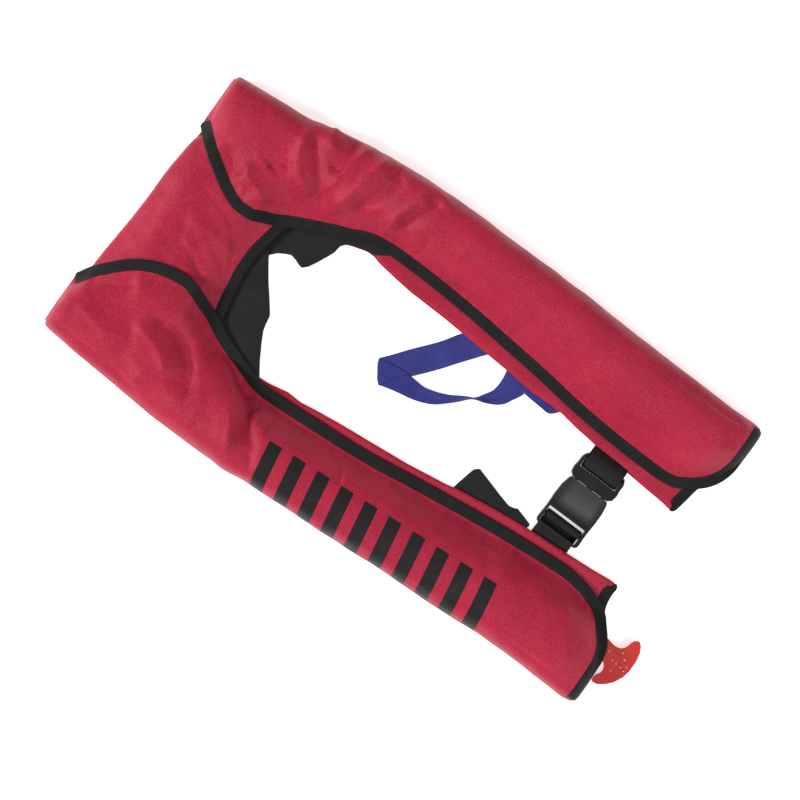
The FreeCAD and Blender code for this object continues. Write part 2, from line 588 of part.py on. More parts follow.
b = body_of("tail_slider", Placement(V(-46.4, -150.3, 0), Rotation(Vector(0, 0, 1), -16.9)))
sk = sketch_on(b, "slider_outline", "XY_Plane", 0.0)
lines(sk, [(-24.5, -9), (-23, -10.5), (23, -10.5), (24.5, -9), (24.5, 9), (23, 10.5), (-23, 10.5), (-24.5, 9)])
pad(b, sk, "dims.slider_thick", "slider_pad")
sk = sketch_on(b, "slider_channel", "XZ_Plane", -30.0)
lines(sk, [(-20.4, 0.65), (20.4, 0.65), (20.4, 2.55), (-20.4, 2.55)])
pocket(b, sk, 60.0, "channel", reverse=True)

# ------------------------------------------------------------------ gas inflator
BY = -232.0  # rear face of the block, pattern Y
gas = Placement(V(GX, BY, GZ), Rotation())
b = body_of("co2_cylinder", gas)
sk = sketch_on(b, "cylinder_profile", "XY_Plane", 0.0)
R = D("gas_radius")
NT = D("neck_thread")
prof = [(0, 21.2), (2.3, 21.2), (2.3, 15.0), (NT, 15.0), (NT, 29.0), (6.8, 31.0), (9.0, 35.5), (12.8, 40.0), (15.0, 44.5), (R, 49.5), (R, 143.0), (15.2, 148.0), (13.2, 152.5), (9.5, 155.2), (0, 156.5)]
lines(sk, prof)
rev = b.newObject("PartDesign::Revolution", "cylinder_turned")
rev.Profile = sk
rev.ReferenceAxis = (sk, ["V_Axis"])
rev.Angle = 360.0
doc.recompute()

b = body_of("inflator_body", gas)
sk = sketch_on(b, "block_outline", "XY_Plane", -D("block_tall") / 2)
hw = D("block_wide") / 2
LN = D("block_long")
lines(sk, [(-hw - 2, 0), (hw - 3, 0), (hw - 1, 2), (hw - 1, LN - 2), (hw - 3, LN), (-hw - 2, LN), (-hw - 4, LN - 2), (-hw - 4, 2)])
pad(b, sk, "dims.block_tall", "block")
sk = sketch_on(b, "ears", "XY_Plane", -D("block_tall") / 2 + 1.5)
lines(sk, [(-6, 1), (-6, -15), (-3.5, -18.5), (3.5, -18.5), (6, -15), (6, 1)])
pad(b, sk, D("block_tall") - 3.0, "ear_block")
sk = sketch_on(b, "ear_slot", "XY_Plane", -D("ear_gap") / 2)
lines(sk, [(-12, -25), (12, -25), (12, 0), (-12, 0)])
pocket(b, sk, "dims.ear_gap", "slot", reverse=True)
sk = sketch_on(b, "pivot_hole", "XY_Plane", 20.0)
circle(sk, 0, -12.0, "pivot_bore")
pocket(b, sk, 60.0, "pivot")
sk = sketch_on(b, "gas_socket", "XZ_Plane", -LN - 1.0)
circle(sk, 0, 0, "socket_bore")
pocket(b, sk, LN + 1.0 - 14.5, "socket", reverse=False)
sk = sketch_on(b, "pin_bore", "XZ_Plane", 5.0)
circle(sk, 0, 0, "pin_bore")
pocket(b, sk, 40.0, "bore", reverse=False)
sk = sketch_on(b, "stem_bore", "XY_Plane", 30.0)
circle(sk, -12.0, 9.0, "stem_bore")
pocket(b, sk, 60.0, "stem_hole")

b = body_of("manifold", Placement(V(GX - 12.0, BY + 9.0, 6.0), Rotation()))
sk = sketch_on(b, "flange", "XY_Plane", 0.0)
circle(sk, 4.0, 0, "flange_radius")
pad(b, sk, 2.5, "flange_pad")
sk = sketch_on(b, "stem", "XY_Plane", 1.0)
circle(sk, 0, 0, "stem_radius")
pad(b, sk, 31.3, "stem_pad")

rings = Part.makeCylinder(8.0, 1.5, V(GX - 12.0, BY + 9.0, 8.5)).cut(Part.makeCylinder(3.7, 3, V(GX - 12.0, BY + 9.0, 8.0)))
rings2 = Part.makeCylinder(6.5, 1.0, V(GX - 12.0, BY + 9.0, 34.0)).cut(Part.makeCylinder(3.7, 3, V(GX - 12.0, BY + 9.0, 33.5)))
feature("manifold_gaskets", Part.makeCompound([rings, rings2]))

b = body_of("inflator_nut", Placement(V(GX - 12.0, BY + 9.0, 35.0), Rotation()))
sk = sketch_on(b, "nut_outline", "XY_Plane", 0.0)
lines(sk, [(6.5 * math.cos(math.radians(a)), 6.5 * math.sin(math.radians(a))) for a in range(0, 360, 60)])
pad(b, sk, 4.4, "nut_pad")
sk = sketch_on(b, "nut_bore", "XY_Plane", 5.0)
circle(sk, 0, 0, "stem_bore")
pocket(b, sk, 12.0, "bore")

b = body_of("lever_pivot_pin", Placement(V(GX, BY - 12.0, GZ), Rotation()))
sk = sketch_on(b, "pivot_outline", "XY_Plane", -11.4)
circle(sk, 0, 0, "pivot_radius")
pad(b, sk, 22.8, "pivot_pad")
sk = sketch_on(b, "pivot_head", "XY_Plane", 10.6)
circle(sk, 0, 0, radius=3.0)
pad(b, sk, 1.2, "pivot_head_pad")

# lever with a spiral cam that drives the pin as it turns
PIN_TRAVEL, LEVER_TURN = 4.0, 75.0
b = body_of("inflator_lever", Placement(V(GX, BY - 12.0, GZ), Rotation()))
sk = sketch_on(b, "lever_cam", "XY_Plane", -D("lever_thick") / 2)
cam = []
for k in range(0, 16):
    phi = LEVER_TURN * k / 15.0
    r = 4.0 + PIN_TRAVEL * phi / LEVER_TURN
    a = math.radians(90.0 + phi)
    cam.append((r * math.cos(a), r * math.sin(a)))
cam += [(-6.2, -1.6), (-3.6, -3.4), (0, -4.2), (4.0, -2.2)]
arm = [(21.0, 10.8), (23.7, 14.4), (23.3, 18.0), (20.2, 19.6), (16.8, 16.6), (5.0, 5.0)]
lines(sk, cam + arm)
pad(b, sk, "dims.lever_thick", "lever_pad")
sk = sketch_on(b, "lever_bore", "XY_Plane", 10.0)
circle(sk, 0, 0, "pivot_bore")
pocket(b, sk, 30.0, "lever_pivot")
sk = sketch_on(b, "lever_eye", "XY_Plane", 10.0)
circle(sk, 20.6, 15.6, radius=1.9)
pocket(b, sk, 30.0, "eye")

b = body_of("piercing_pin", gas)
sk = sketch_on(b, "pin_profile", "XY_Plane", 0.0)
PR = D("pin_radius")
lines(sk, [(0, -7.4), (0.7, -7.4), (1.6, -6.0), (2.9, -6.0), (2.9, -4.8), (PR, -4.8), (PR, 12.0), (1.3, 14.0), (0.25, 17.0), (0, 17.0)])
rev = b.newObject("PartDesign::Revolution", "pin_turned")
rev.Profile = sk
rev.ReferenceAxis = (sk, ["V_Axis"])
rev.Angle = 360.0
doc.recompute()

# return spring round the pin, between its head and the block
helix = Part.makeHelix(1.1, 4.2, 2.6)
helix.Placement = Placement(V(GX, BY - 4.45, GZ), Rotation(Vector(1, 0, 0), -90))
start = helix.Edges[0].valueAt(helix.Edges[0].FirstParameter)
tangent = helix.Edges[0].tangentAt(helix.Edges[0].FirstParameter)
wire_profile = Part.Wire([Part.makeCircle(0.25, start, tangent)])
spring = Part.Wire(helix.Edges).makePipeShell([wire_profile], True, True)
feature("pin_spring", spring)

feature("status_clip", Part.makeBox(9.0, 6.0, 1.4, V(GX - 4.5, BY - 7.0, GZ + D("block_tall") / 2 - 1.5)))

# pull handle: flat crescent with a stem and four dimples
b = body_of("pull_handle", Placement(V(0, 0, 0), Rotation()))
sk = sketch_on(b, "handle_outline", "XY_Plane", D("handle_low"))
lines(sk, [(-71.5, -283), (-71.8, -288), (-73.3, -294), (-73.5, -298), (-72.5, -302), (-70, -305), (-66, -306.8), (-62, -307.5), (-59.5, -309), (-57.5, -311.5), (-57.2, -313.5), (-60, -316.5), (-66, -319.5), (-74, -321.0), (-85, -321.0), (-93, -319.5), (-102, -315), (-108, -309.5), (-112.5, -303), (-113.2, -298), (-112, -296.5), (-108, -296.3), (-105, -297.5), (-102, -299.5), (-99, -300), (-95.5, -299), (-92.5, -296.5), (-91.2, -293), (-89.0, -283.5), (-85, -280), (-75, -279.5)])
pad(b, sk, "dims.handle_thick", "handle_pad")
sk = sketch_on(b, "handle_dimples", "XY_Plane", D("handle_low") + D("handle_thick"))
for x, y in ((-81, -293), (-83.5, -301), (-85.3, -308), (-87, -315)):
    circle(sk, x, y, radius=1.0)
pocket(b, sk, 0.7, "dimples")
sk = sketch_on(b, "handle_eye", "XY_Plane", 30.0)
circle(sk, -80.2, -284.5, radius=1.8)
pocket(b, sk, 60.0, "eye")
b.Placement = Placement(Vector(DX, DY, 0), Rotation())

# lanyard from the handle's stem up to the lever's eye: straight runs and tangent arcs
CR = D("cord_radius")
ROUTE = [(-79.8, -279.1, 7.4), (-80.6, -267.0, 8.6), (-81.0, -252.0, 14.5), (-81.0, -238.6, 20.4)]


def cord(points, radius):
    pts = [V(*p) for p in points]
    edges, radii = [], []
    cursor = pts[0]
    for i in range(1, len(pts) - 1):
        a, p, c = pts[i - 1], pts[i], pts[i + 1]
        u, w = (p - a).normalize(), (c - p).normalize()
        turn = u.getAngle(w)
        short = min(p.distanceToPoint(a), p.distanceToPoint(c))
        r = 0.45 * short / math.tan(turn / 2)
        back = r * math.tan(turn / 2)
        s, e = p - u * back, p + w * back
        n = (w - u * (u.dot(w))).normalize()
        centre = s + n * r
        mid = centre + ((p - centre).normalize()) * r
        edges.append(Part.LineSegment(cursor, s).toShape())
        edges.append(Part.Arc(s, mid, e).toShape())
        cursor = e
        radii.append(round(r, 1))
    edges.append(Part.LineSegment(cursor, pts[-1]).toShape())
    path = Part.Wire(edges)
    t = (pts[1] - pts[0]).normalize()
    tube = path.makePipeShell([Part.Wire([Part.makeCircle(radius, pts[0], t)])], True, False)
    print("cord radii", radii, "length", round(path.Length, 1), "volume ratio", round(tube.Volume / (math.pi * radius**2 * path.Length), 3))
    return tube


feature("pull_lanyard", cord(ROUTE, CR))

# ------------------------------------------------------------------ mouth tube
TZ = D("tube_height")
feature("oral_tube_flange", Part.makeCylinder(12.0, 1.6, V(TXP, 16, SF)).fuse(Part.makeCylinder(6.0, 2.4, V(TXP, 16, SF))))
TR = D("tube_radius")
tube = Part.makeCylinder(TR, TZ - SF - 2.4, V(TXP, 16, SF + 2.4)).fuse(Part.makeSphere(TR, V(TXP, 16, TZ))).fuse(Part.makeCylinder(TR, 108.0, V(TXP, 16, TZ), Vector(0, 1, 0)))
bore = Part.makeCylinder(4.0, TZ - SF, V(TXP, 16, SF)).fuse(Part.makeSphere(4.0, V(TXP, 16, TZ))).fuse(Part.makeCylinder(4.0, 110.0, V(TXP, 16, TZ), Vector(0, 1, 0)))
feature("oral_tube", solid_of(tube.cut(bore)))

b = body_of("oral_valve_housing", Placement(V(TXP, 124.0, TZ), Rotation()))
sk = sketch_on(b, "housing_profile", "XY_Plane", 0.0)
VR = D("valve_radius")
PB = D("poppet_bore")
lines(sk, [(4.2, 0), (TR + 0.4, 0), (VR, 2.5), (VR, 26.0), (VR - 1.2, 27.5), (PB, 27.5), (PB, 24.5), (5.2, 24.5), (5.2, 6.0), (4.2, 6.0)])
rev = b.newObject("PartDesign::Revolution", "housing_turned")
rev.Profile = sk
rev.ReferenceAxis = (sk, ["V_Axis"])
rev.Angle = 360.0
doc.recompute()

b = body_of("oral_valve_poppet", Placement(V(TXP, 124.0, TZ), Rotation()))
sk = sketch_on(b, "poppet_profile", "XY_Plane", 0.0)
PO = D("poppet_radius")
lines(sk, [(0, 20.0), (4.6, 20.0), (4.6, 21.4), (3.2, 24.2), (PO, 24.2), (PO, 30.2), (0, 30.6)])
rev = b.newObject("PartDesign::Revolution", "poppet_turned")
rev.Profile = sk
rev.ReferenceAxis = (sk, ["V_Axis"])
rev.Angle = 360.0
doc.recompute()

helix = Part.makeHelix(2.4, 12.0, 3.5)
helix.Placement = Placement(V(TXP, 130.6, TZ), Rotation(Vector(1, 0, 0), -90))
start = helix.Edges[0].valueAt(helix.Edges[0].FirstParameter)
tangent = helix.Edges[0].tangentAt(helix.Edges[0].FirstParameter)
feature("valve_spring", Part.Wire(helix.Edges).makePipeShell([Part.Wire([Part.makeCircle(0.4, start, tangent)])], True, True))

b = body_of("oral_cap", Placement(V(TXP, 124.0, TZ), Rotation()))
sk = sketch_on(b, "cap_profile", "XY_Plane", 0.0)
lines(sk, [(D("cap_bore"), 16.0), (D("cap_radius"), 16.0), (D("cap_radius"), 32.0), (7.4, 33.6), (0, 34.0), (0, 32.0), (D("cap_bore"), 32.0)])
rev = b.newObject("PartDesign::Revolution", "cap_turned")
rev.Profile = sk
rev.ReferenceAxis = (sk, ["V_Axis"])
rev.Angle = 360.0
doc.recompute()

clip = Part.makeCylinder(7.6, 8.0, V(TXP, 74, TZ), Vector(0, 1, 0)).fuse(box(TXP - 11, TXP + 11, 74, 82, SF, SF + 1.8)).fuse(box(TXP - 7.6, TXP + 7.6, 74, 82, SF, TZ))
clip = clip.cut([Part.makeCylinder(6.1, 12.0, V(TXP, 72, TZ), Vector(0, 1, 0)), box(TXP - 4.5, TXP + 4.5, 70, 86, 30, 50), box(TXP - 20, TXP + 20, 70, 86, 5, SF)])
feature("tube_clip", solid_of(clip))

# ------------------------------------------------------------------ whistle
b = body_of("whistle", Placement(V(TXP, -38.0, 19.2), Rotation(Vector(0, 0, 1), 90)))
sk = sketch_on(b, "whistle_outline", "XY_Plane", 0.0)
lines(sk, [(-24, -6.5), (-8, -7.5), (8, -9), (20, -9), (24, -6), (24, 6), (20, 9), (8, 9), (-8, 7.5), (-24, 6.5)])
pad(b, sk, "dims.whistle_thick", "whistle_pad")
sk = sketch_on(b, "whistle_windows", "XY_Plane", D("whistle_thick"))
lines(sk, [(-8, -5.5), (-4, -5.5), (-4, 5.5), (-8, 5.5)])
lines(sk, [(4, -6), (16, -6), (16, 6), (4, 6)])
pocket(b, sk, 3.0, "windows")
sk = sketch_on(b, "whistle_bore", "YZ_Plane", -25.0)
lines(sk, [(-4.5, 4.5), (4.5, 4.5), (4.5, 7.5), (-4.5, 7.5)])
pocket(b, sk, 12.0, "blow_slot", reverse=True)
feature("whistle_tab", box(TXP - 6, TXP + 6, -60, -14, 17.6, 19.0))

# ------------------------------------------------------------------ check and write
doc.recompute()
os.makedirs("parts", exist_ok=True)
for f in os.listdir("parts"):
    if f.endswith(".step"):
        os.remove(os.path.join("parts", f))
problems = []
total = None
for o in doc.Objects:
    bad = [s for s in o.State if s in ("Invalid", "Error")]
    if bad:
        problems.append("%s: %s" % (o.Label, bad))
names = set()
for o in doc.Objects:
    if o.TypeId == "PartDesign::Body" or (o.TypeId == "Part::Feature" and not o.getParentGeoFeatureGroup()):
        s = o.Shape
        if s.isNull() or not s.isValid() or not s.Solids:
            problems.append("%s: null or invalid shape" % o.Label)
            continue
        if o.Label in names:
            problems.append("%s: name used twice" % o.Label)
        names.add(o.Label)
        bb = s.BoundBox
        print("%-22s solids %d vol %10.1f  x %7.1f..%7.1f y %7.1f..%7.1f z %6.2f..%6.2f" % (o.Label, len(s.Solids), s.Volume, bb.XMin, bb.XMax, bb.YMin, bb.YMax, bb.ZMin, bb.ZMax))
        total = bb if total is None else total.united(bb)
if problems:
    raise RuntimeError("; ".join(problems))
for o in doc.Objects:
    if o.Label in names and (o.TypeId == "PartDesign::Body" or o.TypeId == "Part::Feature"):
        o.Shape.exportStep("parts/%s.step" % o.Label)
print("nodes", len(names), "box", total)
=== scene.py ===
"""Looks of the inflatable life jacket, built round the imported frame. Lengths in the helpers are pattern millimetres; meshes are made in metres."""

import math

import bpy
import numpy as np
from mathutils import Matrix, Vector, geometry, noise
from mathutils.bvhtree import BVHTree


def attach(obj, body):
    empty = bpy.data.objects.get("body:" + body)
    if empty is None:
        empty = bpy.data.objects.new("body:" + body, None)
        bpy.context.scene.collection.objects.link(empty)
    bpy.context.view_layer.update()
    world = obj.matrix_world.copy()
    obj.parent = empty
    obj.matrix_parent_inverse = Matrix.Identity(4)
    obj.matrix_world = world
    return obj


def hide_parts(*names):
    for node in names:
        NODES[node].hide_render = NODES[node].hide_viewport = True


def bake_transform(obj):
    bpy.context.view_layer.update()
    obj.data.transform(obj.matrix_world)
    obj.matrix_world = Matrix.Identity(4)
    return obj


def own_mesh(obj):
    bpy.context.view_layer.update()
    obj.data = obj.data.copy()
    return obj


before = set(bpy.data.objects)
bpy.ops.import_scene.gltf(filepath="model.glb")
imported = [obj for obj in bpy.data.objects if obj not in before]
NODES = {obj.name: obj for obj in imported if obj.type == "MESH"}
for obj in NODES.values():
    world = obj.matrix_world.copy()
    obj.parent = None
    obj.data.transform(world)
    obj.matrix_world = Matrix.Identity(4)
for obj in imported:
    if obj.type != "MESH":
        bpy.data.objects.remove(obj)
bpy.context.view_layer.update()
scene = bpy.context.scene
DX, DY = -18.126, 3.5


# ------------------------------------------------------------------ helpers
def P(x, y, z):
    """Pattern millimetres to the frame, in metres."""
    return ((x + DX) * 0.001, (y + DY) * 0.001, z * 0.001)


def smooth01(t):
    t = np.clip(t, 0.0, 1.0)
    return t * t * (3 - 2 * t)


def make_mesh(name, verts, faces, mat, uv=None, smooth=True):
    """Mesh object from pattern millimetres. uv is a millimetre position in the cloth at each vertex."""
    co = np.array(verts, float).reshape(-1, 3).copy()
    co[:, 0] += DX
    co[:, 1] += DY
    co *= 0.001
    me = bpy.data.meshes.new(name)
    me.from_pydata(co.tolist(), [], [tuple(int(i) for i in f) for f in faces])
    me.validate()
    me.update()
    if smooth:
        me.polygons.foreach_set("use_smooth", [True] * len(me.polygons))
    if uv is None:
        uv = np.array(verts, float).reshape(-1, 3)
    uv = np.array(uv, float).reshape(-1, np.array(uv).shape[-1])
    full = np.zeros((len(co), 3), np.float32)
    full[:, : uv.shape[1]] = uv * 0.001
    at = me.attributes.new("cloth_uv", "FLOAT_VECTOR", "POINT")
    if len(at.data) == len(full):
        at.data.foreach_set("vector", full.ravel())
    ob = bpy.data.objects.new(name, me)
    scene.collection.objects.link(ob)
    me.materials.append(mat)
    return ob


def apply_modifiers(ob):
    bpy.context.view_layer.update()
    dg = bpy.context.evaluated_depsgraph_get()
    me = bpy.data.meshes.new_from_object(ob.evaluated_get(dg), preserve_all_data_layers=True, depsgraph=dg)
    ob.modifiers.clear()
    ob.data = me
    return ob


def table(tab):
    """Monotone piecewise-cubic interpolation of a table of (t, value)."""
    tab = sorted(tab)
    ts = [p[0] for p in tab]
    vs = [p[1] for p in tab]
    n = len(ts)
    d = [(vs[i + 1] - vs[i]) / (ts[i + 1] - ts[i]) for i in range(n - 1)]
    m = [d[0]] + [0.0 if d[i - 1] * d[i] <= 0 else 2 * d[i - 1] * d[i] / (d[i - 1] + d[i]) for i in range(1, n - 1)] + [d[-1]]

    def at(t):
        t = min(max(t, ts[0]), ts[-1])
        i = 0
        while i < n - 2 and t > ts[i + 1]:
            i += 1
        h = ts[i + 1] - ts[i]
        u = (t - ts[i]) / h
        return (2 * u**3 - 3 * u**2 + 1) * vs[i] + (u**3 - 2 * u**2 + u) * h * m[i] + (-2 * u**3 + 3 * u**2) * vs[i + 1] + (u**3 - u**2) * h * m[i + 1]

    return at


def catmull(pts, per=12):
    """Catmull-Rom points through pts, as an array."""
    P0 = np.array(pts, float)
    out = []
    n = len(P0)
    for i in range(n - 1):
        p0, p1, p2, p3 = P0[max(i - 1, 0)], P0[i], P0[i + 1], P0[min(i + 2, n - 1)]
        for k in range(per):
            t = k / per
            out.append(0.5 * (2 * p1 + (p2 - p0) * t + (2 * p0 - 5 * p1 + 4 * p2 - p3) * t * t + (3 * p1 - p0 - 3 * p2 + p3) * t**3))
    out.append(P0[-1])
    return np.array(out)


def resample(pts, n=None, step=None):
    """Evenly spaced points along a polyline."""
    pts = np.array(pts, float)
    seg = np.linalg.norm(np.diff(pts, axis=0), axis=1)
    acc = np.concatenate([[0], np.cumsum(seg)])
    if n is None:
        n = max(2, int(round(acc[-1] / step)) + 1)
    d = np.linspace(0, acc[-1], n)
    return np.stack([np.interp(d, acc, pts[:, k]) for k in range(pts.shape[1])], axis=1)


def fbm(x, y, z, scale, octaves=2, seed=0.0):
    """Smooth noise at pattern millimetre points; scale is the feature size."""
    out = np.zeros(np.shape(x))
    flat = out.ravel()
    X, Y, Z = np.ravel(x), np.ravel(y), np.ravel(np.broadcast_to(z, np.shape(x)))
    for i in range(flat.size):
        v, a, s = 0.0, 1.0, 1.0 / scale
        for _ in range(octaves):
            v += a * noise.noise(Vector((X[i] * s + seed, Y[i] * s - seed, Z[i] * s + 0.37 * seed)))
            a *= 0.5
            s *= 2.1
        flat[i] = v
    return flat.reshape(np.shape(x))


def line_field(X, Y, pts, w, a, w2=None, taper=0.22, power=1.1):
    """A fold along a polyline: height a on it, falling off over w on its left and w2 on its right."""
    w2 = w if w2 is None else w2
    pts = np.array(pts, float)
    seg = np.linalg.norm(np.diff(pts, axis=0), axis=1)
    acc = np.concatenate([[0], np.cumsum(seg)])
    best = np.full(X.shape, 1e9)
    along = np.zeros(X.shape)
    side = np.zeros(X.shape)
    for i in range(len(seg)):
        ax, ay = pts[i]
        dx, dy = (pts[i + 1] - pts[i]) / seg[i]
        t = np.clip((X - ax) * dx + (Y - ay) * dy, 0, seg[i])
        qx, qy = X - (ax + t * dx), Y - (ay + t * dy)
        d = np.hypot(qx, qy)
        near = d < best
        best = np.where(near, d, best)
        along = np.where(near, acc[i] + t, along)
        side = np.where(near, dx * qy - dy * qx, side)
    width = np.where(side > 0, w, w2)
    t = along / acc[-1]
    tap = 0.02 + 0.98 * smooth01(np.minimum(t, 1 - t) / taper)
    return 1.5 * a * np.exp(-((best / (width * (0.45 + 0.55 * tap))) ** power)) * tap


def blob(X, Y, cx, cy, rx, ry, a, turn=0.0):
    c, s = math.cos(math.radians(turn)), math.sin(math.radians(turn))
    u, v = (X - cx) * c + (Y - cy) * s, -(X - cx) * s + (Y - cy) * c
    return a * np.exp(-((u / rx) ** 2) - (v / ry) ** 2)


def fan(X, Y, cx, cy, seed, amp, reach, count=4.2):
    """Creases that radiate from the inside of a bend; they die out with the distance from it."""
    th = np.arctan2(Y - cy, np.abs(X - cx))
    r = np.hypot(X - cx, Y - cy)
    out = np.zeros(X.shape)
    o, t_, r_ = out.ravel(), th.ravel(), r.ravel()
    for i in range(o.size):
        n = noise.noise(Vector((t_[i] * count, r_[i] * 0.011, seed)))
        m = noise.noise(Vector((t_[i] * count * 2.3, r_[i] * 0.02, seed + 4.0)))
        o[i] = (1.0 - min(1.0, abs(n) * 3.4)) ** 1.3 - 0.32 + 0.35 * m
    return amp * o.reshape(X.shape) * smooth01((r - 14) / 26.0) * (1 - smooth01((r - 0.55 * reach) / (0.45 * reach)))


def grid_normals(G):
    du = np.gradient(G, axis=1)
    dv = np.gradient(G, axis=0)
    n = np.cross(du, dv)
    return n / np.maximum(np.linalg.norm(n, axis=2, keepdims=True), 1e-9)


def grid_faces(nv, nu, base=0, flip=False):
    i, j = np.meshgrid(np.arange(nv - 1), np.arange(nu - 1), indexing="ij")
    a = base + i * nu + j
    f = np.stack([a, a + 1, a + nu + 1, a + nu], axis=-1).reshape(-1, 4)
    return f[:, ::-1] if flip else f


def closed_sheet(name, G, N, thick, mat, uv):
    """Cloth with thickness: G is the outer face, N points out of it."""
    nv, nu = G.shape[:2]
    back = G - N * thick
    verts = np.concatenate([G.reshape(-1, 3), back.reshape(-1, 3)])
    m = nv * nu
    test = np.cross(G[0, 1] - G[0, 0], G[1, 0] - G[0, 0]) @ N[0, 0] > 0
    top = grid_faces(nv, nu, 0, flip=not test)
    bot = grid_faces(nv, nu, m, flip=bool(test))
    rim = [i * nu for i in range(nv)] + [(nv - 1) * nu + j for j in range(1, nu)] + [i * nu + nu - 1 for i in range(nv - 2, -1, -1)] + [j for j in range(nu - 2, 0, -1)]
    side = []
    k = len(rim)
    for q in range(k):
        a, b = rim[q], rim[(q + 1) % k]
        f = (a, b, b + m, a + m)
        side.append(f if test else f[::-1])
    faces = [tuple(f) for f in top] + [tuple(f) for f in bot] + side
    UV = np.concatenate([uv.reshape(-1, uv.shape[-1])] * 2)
    return make_mesh(name, verts, faces, mat, uv=UV)


def arc_uv(G):
    """Distance along and across the cloth at each grid point."""
    du = np.linalg.norm(np.diff(G, axis=1), axis=2)
    u = np.concatenate([np.zeros((G.shape[0], 1)), np.cumsum(du, axis=1)], axis=1)
    mid = G[:, G.shape[1] // 2]
    dv = np.concatenate([[0], np.cumsum(np.linalg.norm(np.diff(mid, axis=0), axis=1))])
    v = np.repeat(dv[:, None], G.shape[1], axis=1)
    return np.stack([u, v], axis=-1)


def bvh_of(G):
    nv, nu = G.shape[:2]
    return BVHTree.FromPolygons([Vector(p) for p in G.reshape(-1, 3)], [tuple(int(i) for i in f) for f in grid_faces(nv, nu)])


def drop(tree, x, y, zg):
    """Top point of the cloth above (x, y), and its normal."""
    hit, n, _, _ = tree.ray_cast(Vector((x, y, 90.0)), Vector((0, 0, -1)))
    if hit is None:
        hit, n, _, _ = tree.find_nearest(Vector((x, y, zg)))
    n = Vector(n)
    if n.z < 0:
        n = -n
    return np.array(hit), np.array(n)


def ring_mesh(name, rings, mat, uv=None, caps=True):
    """Closed tube through rings of equal length."""
    R = np.array(rings, float)
    m, k = R.shape[:2]
    faces = []
    for i in range(m - 1):
        for j in range(k):
            a, b = i * k + j, i * k + (j + 1) % k
            faces.append((a, b, b + k, a + k))
    if caps:
        faces.append(tuple(range(k - 1, -1, -1)))
        faces.append(tuple((m - 1) * k + j for j in range(k)))
    ob = make_mesh(name, R.reshape(-1, 3), faces, mat, uv=None if uv is None else np.array(uv).reshape(-1, np.array(uv).shape[-1]))
    fix_normals(ob)
    return ob


def fix_normals(ob):
    import bmesh

    bm = bmesh.new()
    bm.from_mesh(ob.data)
    bmesh.ops.recalc_face_normals(bm, faces=bm.faces)
    bm.to_mesh(ob.data)
    bm.free()
    ob.data.update()


# ------------------------------------------------------------------ materials
def nodes_of(name):
    m = bpy.data.materials.new(name)
    m.use_nodes = True
    nt = m.node_tree
    nt.nodes.clear()
    out = nt.nodes.new("ShaderNodeOutputMaterial")
    bsdf = nt.nodes.new("ShaderNodeBsdfPrincipled")
    nt.links.new(bsdf.outputs["BSDF"], out.inputs["Surface"])
    return m, nt, bsdf


def new(nt, kind, **values):
    n = nt.nodes.new(kind)
    for k, v in values.items():
        if k in n.inputs.keys():
            n.inputs[k].default_value = v
        else:
            setattr(n, k, v)
    return n


def calc(nt, op, a, b=None, clamp=False):
    n = nt.nodes.new("ShaderNodeMath")
    n.operation = op
    n.use_clamp = clamp
    for i, v in enumerate((a, b)):
        if v is None:
            continue
        if isinstance(v, (int, float)):
            n.inputs[i].default_value = v
        else:
            nt.links.new(v, n.inputs[i])
    return n.outputs[0]


def mix_colour(nt, fac, a, b):
    n = nt.nodes.new("ShaderNodeMix")
    n.data_type = "RGBA"
    for i, v in ((0, fac), (6, a), (7, b)):
        if isinstance(v, (int, float)):
            n.inputs[i].default_value = v
        elif isinstance(v, tuple):
            n.inputs[i].default_value = (*v, 1.0)
        else:
            nt.links.new(v, n.inputs[i])
    return n.outputs[2]


def cloth_axes(nt):
    at = nt.nodes.new("ShaderNodeAttribute")
    at.attribute_name = "cloth_uv"
    sep = nt.nodes.new("ShaderNodeSeparateXYZ")
    nt.links.new(at.outputs["Vector"], sep.inputs[0])
    return sep.outputs[0], sep.outputs[1]


def noise_of(nt, scale, detail=2.0, rough=0.5):
    tc = nt.nodes.new("ShaderNodeTexCoord")
    n = nt.nodes.new("ShaderNodeTexNoise")
    n.inputs["Scale"].default_value = scale
    n.inputs["Detail"].default_value = detail
    n.inputs["Roughness"].default_value = rough
    nt.links.new(tc.outputs["Object"], n.inputs["Vector"])
    return n.outputs["Fac"]


def ramp(nt, fac, lo, hi):
    n = nt.nodes.new("ShaderNodeMapRange")
    n.inputs["From Min"].default_value = lo
    n.inputs["From Max"].default_value = hi
    nt.links.new(fac, n.inputs["Value"])
    return n.outputs[0]


def bump(nt, bsdf, height, strength, distance):
    b = nt.nodes.new("ShaderNodeBump")
    b.inputs["Strength"].default_value = strength
    b.inputs["Distance"].default_value = distance
    nt.links.new(height, b.inputs["Height"])
    nt.links.new(b.outputs["Normal"], bsdf.inputs["Normal"])


def basket(nt, u, v, pitch):
    """Plain weave height from two crossed thread waves."""
    k = 2 * math.pi / pitch
    su = calc(nt, "SINE", calc(nt, "MULTIPLY", u, k))
    sv = calc(nt, "SINE", calc(nt, "MULTIPLY", v, k))
    return calc(nt, "ADD", calc(nt, "MULTIPLY", calc(nt, "MULTIPLY", su, sv), 0.5), 0.5)


